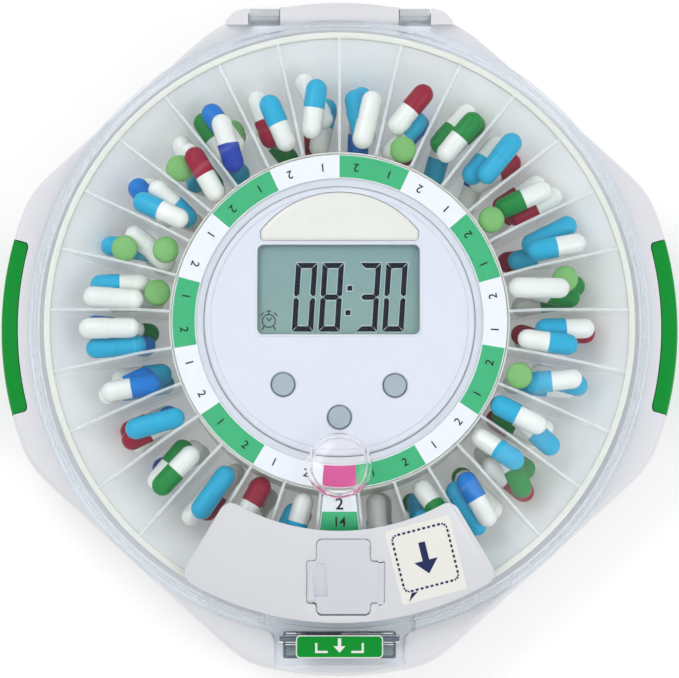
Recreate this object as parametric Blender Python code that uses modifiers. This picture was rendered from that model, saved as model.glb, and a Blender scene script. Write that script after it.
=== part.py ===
# Electronic pill box: a round automatic pill dispenser.
#
# The tray of 29 compartments turns about the vertical axis of the turret.
# A clear lid is hinged at the back (+Y) and latched at the front (-Y).
# Lengths are in metres, angles in degrees, +Z is up, and the feet stand on Z = 0.
# Heights are measured from the floor, radii from the tray's axis.

import math

import bmesh
import bpy
from mathutils import Matrix, Vector

# Clearances
GAP = 0.0003            # seat gap between two still pieces
RUNNING_GAP = 0.0007    # gap beside a piece that turns or slides
CUT_OVERRUN = 0.002     # how far a cutter runs past the face that it opens
WELD = 0.00001          # distance under which doubled points are merged

# Smoothness of round forms
BODY_STEPS = 48
TURRET_STEPS = 40
ROD_STEPS = 14
LENS_STEPS = 24
CORNER_STEPS = 3
FOLD_ANGLE = 35.0

# The tray's rim and the well round it, which the case and the lid follow
TRAY_RIM_RADIUS = 0.0952
WELL_CLEARANCE = 0.0014
WELL_RADIUS = TRAY_RIM_RADIUS + WELL_CLEARANCE

# Case outline: side, front and back lobes joined by four diagonal flats
SIDE_WIDTH = 0.0134
FRONT_WIDTH = 0.0159
BACK_WIDTH = 0.0104
FLAT_WIDTH = 0.0043
SIDE_REACH = WELL_RADIUS + SIDE_WIDTH
FRONT_REACH = WELL_RADIUS + FRONT_WIDTH
BACK_REACH = WELL_RADIUS + BACK_WIDTH
FLAT_DISTANCE = WELL_RADIUS + FLAT_WIDTH
FLAT_ANGLE = 47.8
OUTLINE_BLEND_POWER = 90.0
CASE_WALL = 0.0024
AXIS_OFFSET = (FRONT_REACH - BACK_REACH) / 2

# Case heights
FOOT_HEIGHT = 0.002
PARTING_HEIGHT = 0.027
RIM_HEIGHT = 0.033
RIM_PLATE = 0.0045
RIM_DRAFT = 0.0008
WAIST_HEIGHT = 0.020
BELLY_INSET = 0.022
# Each share pair is a height between the foot and the waist, and an inset of the belly.
BELLY_CURVE_SHARES = ((0.0, 1.0), (0.14, 0.56), (0.36, 0.22), (0.66, 0.05), (1.0, 0.0))

# Well under the tray and turret wall
TRAY_SLOPE_RUN = 0.0229
TRAY_FLOOR_RADIUS = TRAY_RIM_RADIUS - TRAY_SLOPE_RUN
WELL_FLOOR_MARGIN = 0.0047
WELL_FLOOR_RADIUS = TRAY_FLOOR_RADIUS + WELL_FLOOR_MARGIN
WELL_FLOOR_TOP = 0.015
WELL_FLOOR_THICK = 0.0025
TURRET_RADIUS = 0.0433
TURRET_WALL = 0.002

# Tray
COMPARTMENTS = 29
TRAY_RIM_TOP = 0.0394
TRAY_RIM_LIP = 0.0014
TRAY_RIM_WIDTH = 0.0022
TRAY_WALL = 0.0016
TRAY_LIFT = 0.001
TRAY_INNER_WALL_RADIUS = 0.0545
TRAY_INNER_WALL = 0.0015
LEDGE_TOP = 0.0505
LEDGE_THICK = 0.0015
SKIRT_RADIUS = 0.0507
SKIRT_WALL = 0.0014
SKIRT_BOTTOM = 0.022
SKIRT_LIP = 0.0011
SKIRT_LIP_THICK = 0.0009
RUNNER_RADIUS = 0.061
RUNNER_WIDTH = 0.002
DIVIDER_THICK = 0.0012
DIVIDER_TOP = 0.054
DIVIDER_SHOULDER_RUN = 0.0312
DIVIDER_SHOULDER_RADIUS = TRAY_RIM_RADIUS - DIVIDER_SHOULDER_RUN
DIVIDER_FOOT_SINK = 0.0006
DOSAGE_RING_INNER = 0.046
DOSAGE_RING_OUTER = 0.0537
DOSAGE_RING_THICK = 0.0006
HOME_COVER_THICK = 0.0012
HOME_COVER_DROP = 0.0008

# Lid
LID_THICK = 0.002
LID_TOP = 0.058
LID_SKIRT_MARGIN = 0.0029
LID_SHOULDER_ROUND = 0.002
LID_SLOPE_RUN = 0.0315
LID_SHOULDER_HEIGHT = 0.0417
LID_SKIRT_TOP = 0.0403
FLANGE_WIDTH = 0.0015
SKIRT_OUTER_RADIUS = WELL_RADIUS + LID_SKIRT_MARGIN
LID_SHOULDER_RADIUS = SKIRT_OUTER_RADIUS - LID_SHOULDER_ROUND
CREASE_RADIUS = LID_SHOULDER_RADIUS - LID_SLOPE_RUN
FLANGE_RADIUS = SKIRT_OUTER_RADIUS + FLANGE_WIDTH
FLANGE_THICK = 0.0015

# Lid hinge
HINGE_MARGIN = 0.0046
HINGE_OUT = WELL_RADIUS + HINGE_MARGIN
HINGE_RISE = 0.001
HINGE_HEIGHT = RIM_HEIGHT + HINGE_RISE
HINGE_BARREL_RADIUS = 0.0028
HINGE_PIN_RADIUS = 0.0012
ARM_INNER = 0.0196
ARM_OUTER = 0.0294
ARM_LENGTH = 0.0066
ARM_ROOT = HINGE_OUT - ARM_LENGTH
SHOULDER_LENGTH = 0.0073
PIN_BITE = 0.0031

# Gate plate, flap and lens on the lid
GATE_HALF_ANGLE = 32.0
GATE_INNER_MARGIN = 0.0015
GATE_OUTER_MARGIN = 0.0013
GATE_INNER_RADIUS = CREASE_RADIUS + GATE_INNER_MARGIN
GATE_OUTER_RADIUS = LID_SHOULDER_RADIUS - GATE_OUTER_MARGIN
GATE_THICK = 0.0018
GATE_CORNER = 0.004
LID_WINDOW_MARGIN = 0.003
FLAP_AXIS_X = 0.0130
FLAP_INNER_MARGIN = 0.0026
FLAP_INNER_HALF = 0.0067
FLAP_EAR_LENGTH = 0.0132
FLAP_OUTER_HALF = 0.0037
FLAP_INNER_Y = GATE_INNER_RADIUS + FLAP_INNER_MARGIN
FLAP_EAR_INNER_Y = FLAP_INNER_Y + FLAP_INNER_HALF
FLAP_EAR_OUTER_Y = FLAP_EAR_INNER_Y + FLAP_EAR_LENGTH
FLAP_OUTER_Y = FLAP_EAR_OUTER_Y + FLAP_OUTER_HALF
FLAP_LEFT_X = 0.0073
FLAP_RIGHT_X = 0.0098
FLAP_FINGER_X = 0.0104
FLAP_CORNER = 0.0012
FLAP_KNUCKLE_RADIUS = 0.0017
FLAP_PIN_RADIUS = 0.0007
FLAP_CLEARANCE = 0.0005
FLAP_RELIEF = 0.0006
FLAP_RIB_WIDTH = 0.0011
LENS_RADIUS = 0.0105
LENS_OUT = 0.0468
LENS_RISE = 0.0030
LENS_PLUG_INSET = 0.001

# Front tongue of the lid and its press latch
TONGUE_HALF_WIDTH = 0.0203
TONGUE_LENGTH = 0.0085
TONGUE_REACH = FLANGE_RADIUS + TONGUE_LENGTH
TONGUE_TOP = 0.0392
TONGUE_WALL = 0.0023
TONGUE_LIP = 0.0014
TONGUE_BITE = 0.003
TONGUE_VOID_STEP = 0.0009
LATCH_AXIS_STEP = 0.0024
TONGUE_ROOT = SKIRT_OUTER_RADIUS - TONGUE_BITE
TONGUE_VOID_INNER = SKIRT_OUTER_RADIUS - TONGUE_VOID_STEP
LATCH_AXIS_OUT = TONGUE_VOID_INNER + LATCH_AXIS_STEP
LATCH_AXIS_HEIGHT = 0.0362
LATCH_PIN_RADIUS = 0.001
LATCH_PLATE_LOW = 0.0354
LATCH_PLATE_TOP = 0.0382
LATCH_CORNER = 0.0015
LATCH_KNUCKLE_RADIUS = 0.0021
LATCH_LEG_LEFT_X = 0.0012
LATCH_LEG_RIGHT_X = 0.0092
LATCH_LEG_STEP = 0.0002
LATCH_LEG_THICK = 0.0016
LATCH_NOSE_LENGTH = 0.0011
LATCH_LEG_INNER = LATCH_AXIS_OUT + LATCH_LEG_STEP
LATCH_LEG_OUTER = LATCH_LEG_INNER + LATCH_LEG_THICK
LATCH_NOSE_OUT = LATCH_LEG_OUTER + LATCH_NOSE_LENGTH
LATCH_PRESS_GAP = 0.0006
LATCH_LEG_LOW = 0.0262
LATCH_NOSE_THICK = 0.002
LATCH_SLOT_INNER_PLAY = 0.0028
LATCH_SLOT_OUTER_PLAY = 0.0005
LATCH_SLOT_INNER = LATCH_LEG_INNER - LATCH_SLOT_INNER_PLAY
LATCH_SLOT_OUTER = LATCH_LEG_OUTER + LATCH_SLOT_OUTER_PLAY
LATCH_LABEL_HALF_WIDTH = 0.014
LATCH_LABEL_STEP = 0.0011
LATCH_LABEL_MARGIN = 0.0033
LATCH_LABEL_INNER = LATCH_AXIS_OUT - LATCH_LABEL_STEP
LATCH_LABEL_OUTER = TONGUE_REACH - LATCH_LABEL_MARGIN
LATCH_LABEL_THICK = 0.0004
SPRING_START_X = -0.0116
SPRING_END_X = -0.0003
SPRING_TURNS = 5
SPRING_WIRE = 0.00028
SPRING_RADIUS = 0.0017
SPRING_POINTS_A_TURN = 8

# Turret face
PANEL_TOP = 0.052
PANEL_THICK = 0.002
PANEL_EDGE = 0.0006
DISPLAY_WIDTH = 0.0513
DISPLAY_DEPTH = 0.0282
DISPLAY_X = -0.0003
DISPLAY_Y = 0.0101
DISPLAY_CORNER = 0.0016
DISPLAY_THICK = 0.0032
WINDOW_THICK = 0.0014
LAMP_WINDOW_LOW_Y = 0.0258
LAMP_WINDOW_HALF_WIDTH = 0.0253
LAMP_WINDOW_ARC_Y = 0.0096
LAMP_WINDOW_ARC_RADIUS = 0.0319
LAMP_WINDOW_ARC_STEPS = 10
BUTTON_RADIUS = 0.0036
BUTTON_FLANGE = 0.0009
BUTTON_FLANGE_THICK = 0.001
BUTTON_PROUD = 0.0006
BUTTON_TRAVEL = 0.0008
BUTTON_PLACES = (("button_left", -0.0180, -0.0204),
                 ("button_right", 0.0177, -0.0207),
                 ("button_centre", 0.0, -0.0309))
BOARD_THICK = 0.0016
BOARD_TOP = 0.0461
PAD_MARGIN = 0.006
LAMP_RADIUS = 0.0025
LAMP_Y = 0.0335
SOUNDER_RADIUS = 0.006
SOUNDER_HEIGHT = 0.0032
SOUNDER_X = 0.018
SOUNDER_Y = -0.020

# Tray drive
RING_TEETH = 87
DRIVE_TEETH = 15
SMALL_TEETH = 10
LARGE_TEETH = 40
PINION_TEETH = 10
RING_PITCH_RADIUS = 0.046
FINE_MODULE = 0.0006
TOOTH_THICK_SHARE = 0.40
ADDENDUM_SHARE = 0.85
DEDENDUM_SHARE = 1.25
PRESSURE_ANGLE = 20.0
GEAR_LOW = 0.0232
GEAR_FACE = 0.005
LARGE_GEAR_LOW = 0.0210
LARGE_GEAR_FACE = 0.0018
PINION_SIDE_X = -0.012
AXLE_RADIUS = 0.0015
AXLE_LOW = 0.0207
CHASSIS_LOW = 0.029
CHASSIS_THICK = 0.002
MOTOR_RADIUS = 0.012
MOTOR_HEIGHT = 0.012
MOTOR_CAP_RADIUS = 0.008
MOTOR_CAP_HEIGHT = 0.0015
SHAFT_RADIUS = 0.001
DRIVE_SLOT_SIDE = 0.0006

# Cells and battery door
CELL_RADIUS = 0.00725
CELL_LENGTH = 0.0495
CELL_NUB_RADIUS = 0.0027
CELL_NUB_LENGTH = 0.001
CELL_PITCH = 0.015
CELLS = 4
CONTACT_THICK = 0.0003
CONTACT_WIDTH = 0.009
CONTACT_SPREAD = 0.00095
BAY_SIDE_ROOM = 0.00025
BAY_END_ROOM = 0.00185
BAY_HALF_WIDTH = CELL_PITCH * (CELLS - 1) / 2 + CELL_RADIUS + BAY_SIDE_ROOM
BAY_HALF_DEPTH = CELL_LENGTH / 2 + BAY_END_ROOM
BAY_TOP = 0.0189
BAY_WALL = 0.0015
DOOR_THICK = 0.0015
DOOR_LEDGE = 0.0012
BAY_CORNER = 0.0025
DOOR_NOTCH_DEPTH = 0.0008
DOOR_NOTCH_RADIUS = 0.006

# Feet, screws and grips
FOOT_RADIUS = 0.006
FOOT_PLACE = 0.047
FOOT_RECESS = 0.0007
SCREW_OUT = 0.058
SCREW_HEAD_RADIUS = 0.0027
SCREW_HEAD_THICK = 0.0018
SCREW_SHANK_RADIUS = 0.0012
SCREW_BOSS_RADIUS = 0.0042
SCREW_JOINT_HEIGHT = 0.0077
SCREW_TOP = 0.0115
GRIP_HALF_ANGLE = 15.0
GRIP_DEPTH = 0.0055
GRIP_INNER_RADIUS = SIDE_REACH - GRIP_DEPTH
GRIP_LOW = 0.009

# Sizes worked out from the ones above
WELL_FLOOR_LOW = WELL_FLOOR_TOP - WELL_FLOOR_THICK
TURRET_INNER = TURRET_RADIUS - TURRET_WALL
TURRET_TOP = PANEL_TOP - PANEL_THICK - GAP
FLANGE_TOP = TURRET_TOP
TRAY_BOTTOM = WELL_FLOOR_TOP + TRAY_LIFT
TRAY_FLOOR_TOP = TRAY_BOTTOM + TRAY_WALL
COMPARTMENT_ANGLE = 360.0 / COMPARTMENTS
LID_BOTTOM = RIM_HEIGHT + GAP
SLOPE_ANGLE = math.degrees(math.atan2(LID_TOP - LID_SHOULDER_HEIGHT, LID_SHOULDER_RADIUS - CREASE_RADIUS))
RING_MODULE = 2 * RING_PITCH_RADIUS / RING_TEETH
DRIVE_OUT = RING_PITCH_RADIUS - RING_MODULE * DRIVE_TEETH / 2
REDUCTION_OUT = DRIVE_OUT - RING_MODULE * (DRIVE_TEETH + SMALL_TEETH) / 2
FINE_CENTRES = FINE_MODULE * (LARGE_TEETH + PINION_TEETH) / 2
PINION_Y = REDUCTION_OUT - math.sqrt(FINE_CENTRES ** 2 - PINION_SIDE_X ** 2)
CHASSIS_TOP = CHASSIS_LOW + CHASSIS_THICK
DOOR_TOP = FOOT_HEIGHT + DOOR_THICK
CELL_AXIS_HEIGHT = DOOR_TOP + GAP + CELL_RADIUS

# Colours and finishes: base colour, roughness, metallic
FINISHES = {
    "white_shell": ((0.80, 0.81, 0.83), 0.38, 0.0),
    "tray_cream": ((0.82, 0.80, 0.74), 0.42, 0.0),
    "clear": ((0.92, 0.95, 0.97), 0.06, 0.0),
    "grip_green": ((0.01, 0.33, 0.06), 0.55, 0.0),
    "label_green": ((0.01, 0.37, 0.07), 0.45, 0.0),
    "ring_print": ((0.12, 0.55, 0.36), 0.45, 0.0),
    "ivory": ((0.82, 0.79, 0.70), 0.40, 0.0),
    "display_grey": ((0.28, 0.41, 0.38), 0.25, 0.0),
    "button_grey": ((0.40, 0.46, 0.53), 0.50, 0.0),
    "board_green": ((0.02, 0.16, 0.06), 0.50, 0.0),
    "gear_white": ((0.75, 0.75, 0.72), 0.45, 0.0),
    "steel": ((0.55, 0.56, 0.58), 0.30, 1.0),
    "spring_steel": ((0.10, 0.11, 0.13), 0.35, 1.0),
    "cell_jacket": ((0.04, 0.09, 0.25), 0.35, 0.0),
    "rubber_dark": ((0.03, 0.03, 0.03), 0.80, 0.0),
    "lamp_red": ((0.70, 0.10, 0.06), 0.20, 0.0),
}


def clear_scene():
    for obj in list(bpy.data.objects):
        bpy.data.objects.remove(obj, do_unlink=True)


def make_collection(name):
    collection = bpy.data.collections.new(name)
    bpy.context.scene.collection.children.link(collection)
    return collection


clear_scene()
PARTS = make_collection("electronic_pill_box")
CUTTERS = make_collection("cutters")


def finish(name):
    material = bpy.data.materials.get(name)
    if material:
        return material
    colour, roughness, metallic = FINISHES[name]
    material = bpy.data.materials.new(name)
    material.use_nodes = True
    shader = material.node_tree.nodes["Principled BSDF"]
    shader.inputs["Base Color"].default_value = (*colour, 1.0)
    shader.inputs["Roughness"].default_value = roughness
    shader.inputs["Metallic"].default_value = metallic
    material.diffuse_color = (*colour, 1.0)
    return material


# An empty on each joint axis carries the pieces that move with it.
def make_pivot(name, place, parent=None):
    empty = bpy.data.objects.new(name, None)
    empty.empty_display_size = TURRET_RADIUS
    empty["place"] = place
    origin = Vector(parent["place"]) if parent else Vector((0, 0, 0))
    empty.parent = parent
    empty.location = Vector(place) - origin
    PARTS.objects.link(empty)
    return empty


# Every mesh is drawn about the tray's axis, and hangs on its body's pivot.
def add_piece(name, mesh, colour, pivot):
    obj = bpy.data.objects.new(name, mesh)
    obj.parent = pivot
    obj.location = -Vector(pivot["place"])
    PARTS.objects.link(obj)
    mesh.materials.clear()
    mesh.materials.append(finish(colour))
    mesh.shade_smooth()
    mesh.set_sharp_from_angle(angle=math.radians(FOLD_ANGLE))
    return obj


def add_cutter(name, mesh, target):
    obj = bpy.data.objects.new(name, mesh)
    obj.parent = target.parent
    obj.location = target.location
    obj.hide_render = True
    obj.display_type = 'WIRE'
    CUTTERS.objects.link(obj)
    return obj


def boolean(target, mesh, operation):
    cutter = add_cutter(f"{target.name}_{operation.lower()}_{len(target.modifiers)}", mesh, target)
    modifier = target.modifiers.new(cutter.name, 'BOOLEAN')
    modifier.object = cutter
    modifier.operation = operation
    modifier.solver = 'EXACT'


def cut(target, *meshes):
    for mesh in meshes:
        boolean(target, mesh, 'DIFFERENCE')


def join(target, *meshes):
    for mesh in meshes:
        boolean(target, mesh, 'UNION')


def keep_inside(target, mesh):
    boolean(target, mesh, 'INTERSECT')


def to_mesh(bm, name):
    bmesh.ops.recalc_face_normals(bm, faces=bm.faces)
    mesh = bpy.data.meshes.new(name)
    bm.to_mesh(mesh)
    bm.free()
    return mesh


def polar(radius, angle, height=0.0):
    return Vector((radius * math.cos(math.radians(angle)), radius * math.sin(math.radians(angle)), height))


# A box between two corners.
def block(low, high):
    bm = bmesh.new()
    bmesh.ops.create_cube(bm, size=1.0)
    low = Vector(low)
    size = Vector(high) - low
    for vertex in bm.verts:
        vertex.co = Vector(low[i] + (vertex.co[i] + 0.5) * size[i] for i in range(3))
    return to_mesh(bm, "block")


# A round bar between two points; a second radius makes it a cone.
def rod(start, end, radius, end_radius=None, steps=ROD_STEPS):
    start = Vector(start)
    along = Vector(end) - start
    bm = bmesh.new()
    bmesh.ops.create_cone(bm, cap_ends=True, segments=steps, radius1=radius,
                          radius2=radius if end_radius is None else end_radius, depth=along.length)
    turn = Vector((0, 0, 1)).rotation_difference(along).to_matrix().to_4x4()
    bmesh.ops.transform(bm, matrix=Matrix.Translation(start + along / 2) @ turn, verts=bm.verts)
    return to_mesh(bm, "rod")


# The evaluated mesh of a helper object, which is then removed.
def baked_mesh(obj):
    depsgraph = bpy.context.evaluated_depsgraph_get()
    mesh = bpy.data.meshes.new_from_object(obj.evaluated_get(depsgraph))
    data = obj.data
    bpy.data.objects.remove(obj)
    if isinstance(data, bpy.types.Curve):
        bpy.data.curves.remove(data)
    bm = bmesh.new()
    bm.from_mesh(mesh)
    bmesh.ops.remove_doubles(bm, verts=bm.verts, dist=WELD)
    bpy.data.meshes.remove(mesh)
    return to_mesh(bm, "baked")


# A profile of (radius, height) points turned about the tray's axis.
def turned(profile, steps, closed=True, place=(0, 0, 0)):
    mesh = bpy.data.meshes.new("profile")
    count = len(profile)
    edges = [(i, (i + 1) % count) for i in range(count if closed else count - 1)]
    mesh.from_pydata([(radius, 0, height) for radius, height in profile], edges, [])
    obj = bpy.data.objects.new("profile", mesh)
    bpy.context.scene.collection.objects.link(obj)
    screw = obj.modifiers.new("turn", 'SCREW')
    screw.steps = steps
    screw.render_steps = steps
    screw.use_merge_vertices = True
    screw.merge_threshold = WELD
    bpy.context.view_layer.update()
    result = baked_mesh(obj)
    result.transform(Matrix.Translation(place))
    return result


# A flat plate from closed outlines; outlines inside the first are holes.
def plate(outlines, low, high):
    curve = bpy.data.curves.new("outline", 'CURVE')
    curve.dimensions = '2D'
    curve.fill_mode = 'BOTH'
    curve.extrude = (high - low) / 2
    for outline in outlines:
        spline = curve.splines.new('POLY')
        spline.points.add(len(outline) - 1)
        for point, (x, y) in zip(spline.points, outline):
            point.co = (x, y, 0, 1)
        spline.use_cyclic_u = True
    obj = bpy.data.objects.new("outline", curve)
    bpy.context.scene.collection.objects.link(obj)
    bpy.context.view_layer.update()
    result = baked_mesh(obj)
    result.transform(Matrix.Translation((0, 0, (low + high) / 2)))
    return result


def circle(radius, steps, x=0.0, y=0.0, phase=0.0):
    return [(x + radius * math.cos(2 * math.pi * i / steps + phase),
             y + radius * math.sin(2 * math.pi * i / steps + phase)) for i in range(steps)]


# A polygon whose corners become arcs; radii is one radius, or one for each corner.
def rounded(corners, radii, steps=CORNER_STEPS):
    outline = []
    count = len(corners)
    if isinstance(radii, float):
        radii = [radii] * count
    for i, radius in enumerate(radii):
        corner = Vector(corners[i])
        if not radius:
            outline.append(tuple(corner))
            continue
        before = (Vector(corners[i - 1]) - corner).normalized()
        after = (Vector(corners[(i + 1) % count]) - corner).normalized()
        half = before.angle(after) / 2
        reach = radius / math.tan(half)
        centre = corner + (before + after).normalized() * (radius / math.sin(half))
        first = corner + before * reach - centre
        last = corner + after * reach - centre
        for step in range(steps + 1):
            blend = first.lerp(last, step / steps).normalized() * radius
            outline.append(tuple(centre + blend))
    return outline


def rectangle(x, y, width, depth):
    return [(x - width / 2, y - depth / 2), (x + width / 2, y - depth / 2),
            (x + width / 2, y + depth / 2), (x - width / 2, y + depth / 2)]


# Rings of points joined to one closed skin; a looped loft also joins its last ring to its first.
def loft(rings, looped):
    bm = bmesh.new()
    rows = [[bm.verts.new(point) for point in ring] for ring in rings]
    count = len(rows[0])
    pairs = list(zip(rows, rows[1:]))
    if looped:
        pairs.append((rows[-1], rows[0]))
    for lower, upper in pairs:
        for i in range(count):
            following = (i + 1) % count
            bm.faces.new((lower[i], lower[following], upper[following], upper[i]))
    if not looped:
        bm.faces.new(rows[0])
        bm.faces.new(rows[-1])
    return to_mesh(bm, "loft")


# The case seen from above: a lobe cut by four flats, with blended corners.
def case_radius(angle, inset=0.0, side=SIDE_REACH, front=FRONT_REACH, back=BACK_REACH):
    turn = math.radians(angle)
    if abs(math.cos(turn)) > abs(math.sin(turn)):
        lobe = side
    elif math.sin(turn) < 0:
        lobe = front
    else:
        lobe = back
    fold = math.atan2(abs(math.sin(turn)), abs(math.cos(turn)))
    flat = FLAT_DISTANCE / math.cos(fold - math.radians(FLAT_ANGLE))
    power = OUTLINE_BLEND_POWER
    return (lobe ** -power + flat ** -power) ** (-1 / power) - inset


def case_ring(height, inset=0.0, **lobes):
    angles = [360.0 * i / BODY_STEPS for i in range(BODY_STEPS)]
    return [polar(case_radius(angle, inset, **lobes), angle, height) for angle in angles]


def round_ring(radius, height):
    return [polar(radius, 360.0 * i / BODY_STEPS, height) for i in range(BODY_STEPS)]


# The belly under the waist draws in towards the feet.
def belly_rings(inset, lift, shares, **lobes):
    rings = []
    span = WAIST_HEIGHT - FOOT_HEIGHT
    for height_share, inset_share in shares:
        height = FOOT_HEIGHT + lift + (span - lift) * height_share
        rings.append(case_ring(height, inset + BELLY_INSET * inset_share, **lobes))
    return rings


# Height of the lid's outer slope at a radius.
def slope_height(radius):
    share = (radius - CREASE_RADIUS) / (LID_SHOULDER_RADIUS - CREASE_RADIUS)
    return LID_TOP + (LID_SHOULDER_HEIGHT - LID_TOP) * share


# A wedge between two angles about the tray's axis, used to keep or cut a sector.
def sector(inner, outer, start, end, low, high, steps=6):
    angles = [start + (end - start) * i / steps for i in range(steps + 1)]
    outline = [polar(outer, angle).to_2d() for angle in angles]
    outline += [polar(inner, angle).to_2d() for angle in reversed(angles)]
    return plate([[tuple(point) for point in outline]], low, high)


ROOT = make_pivot("case_axis", (0, 0, 0))
ROOT.location.y = AXIS_OFFSET
TRAY_PIVOT = make_pivot("tray_axis", (0, 0, 0), ROOT)
LID_PIVOT = make_pivot("lid_hinge", (0, HINGE_OUT, HINGE_HEIGHT), ROOT)
LATCH_PIVOT = make_pivot("latch_axis", (0, -LATCH_AXIS_OUT, LATCH_AXIS_HEIGHT), LID_PIVOT)
DRIVE_PIVOT = make_pivot("drive_axis", (0, DRIVE_OUT, GEAR_LOW), ROOT)
REDUCTION_PIVOT = make_pivot("reduction_axis", (0, REDUCTION_OUT, GEAR_LOW), ROOT)
PINION_PIVOT = make_pivot("motor_axis", (PINION_SIDE_X, PINION_Y, GEAR_LOW), ROOT)


# Case

GRIP_BACK_RADIUS = GRIP_INNER_RADIUS - GAP


def screw_places():
    return [polar(SCREW_OUT, 90.0 * i) for i in range(4)]


def grip_recess(turn):
    spread = math.degrees(GAP / GRIP_INNER_RADIUS)
    return sector(GRIP_BACK_RADIUS, SIDE_REACH + CUT_OVERRUN, turn - GRIP_HALF_ANGLE - spread,
                  turn + GRIP_HALF_ANGLE + spread, GRIP_LOW - GAP, RIM_HEIGHT + CUT_OVERRUN)


def bay_outline(margin):
    rows = rectangle(0, 0, 2 * (BAY_HALF_WIDTH + margin), 2 * (BAY_HALF_DEPTH + margin))
    return rounded(rows, BAY_CORNER + margin)


def make_bottom_cover():
    rings = belly_rings(0.0, 0.0, BELLY_CURVE_SHARES)
    rings.append(case_ring(PARTING_HEIGHT))
    rings.append(case_ring(PARTING_HEIGHT, CASE_WALL, side=GRIP_BACK_RADIUS))
    rings += reversed(belly_rings(CASE_WALL, CASE_WALL, BELLY_CURVE_SHARES[::2], side=GRIP_BACK_RADIUS))
    cover = add_piece("bottom_cover", loft(rings, looped=False), "white_shell", ROOT)
    floor_low = FOOT_HEIGHT
    join(cover, plate([bay_outline(BAY_WALL)], floor_low + CASE_WALL / 2, BAY_TOP + BAY_WALL))
    for place in screw_places():
        post_top = place + Vector((0, 0, SCREW_JOINT_HEIGHT - GAP))
        join(cover, rod(place + Vector((0, 0, floor_low + CASE_WALL / 2)), post_top, SCREW_BOSS_RADIUS))
        cut(cover, rod(place, post_top + Vector((0, 0, CUT_OVERRUN)), SCREW_SHANK_RADIUS + GAP),
            rod(place, place + Vector((0, 0, floor_low + CASE_WALL + GAP)), SCREW_HEAD_RADIUS + GAP))
    cut(cover, plate([bay_outline(0.0)], DOOR_TOP, BAY_TOP),
        plate([bay_outline(DOOR_LEDGE)], floor_low - CUT_OVERRUN, DOOR_TOP + GAP))
    for turn in (0.0, 180.0):
        cut(cover, grip_recess(turn))
    for x in (-FOOT_PLACE, FOOT_PLACE):
        for y in (-FOOT_PLACE, FOOT_PLACE):
            cut(cover, rod((x, y, floor_low - CUT_OVERRUN), (x, y, floor_low + FOOT_RECESS), FOOT_RADIUS + GAP))


def shoulder_outline(side):
    near = ARM_OUTER + GAP
    far = near + SHOULDER_LENGTH
    front = HINGE_OUT - HINGE_BARREL_RADIUS
    back = HINGE_OUT + HINGE_BARREL_RADIUS
    bevel = HINGE_BARREL_RADIUS
    corners = [(near, front), (far, front), (far, HINGE_OUT - bevel / 2), (far - bevel, back - bevel / 2),
               (near, back)]
    return [(side * x, y) for x, y in corners]


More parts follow.
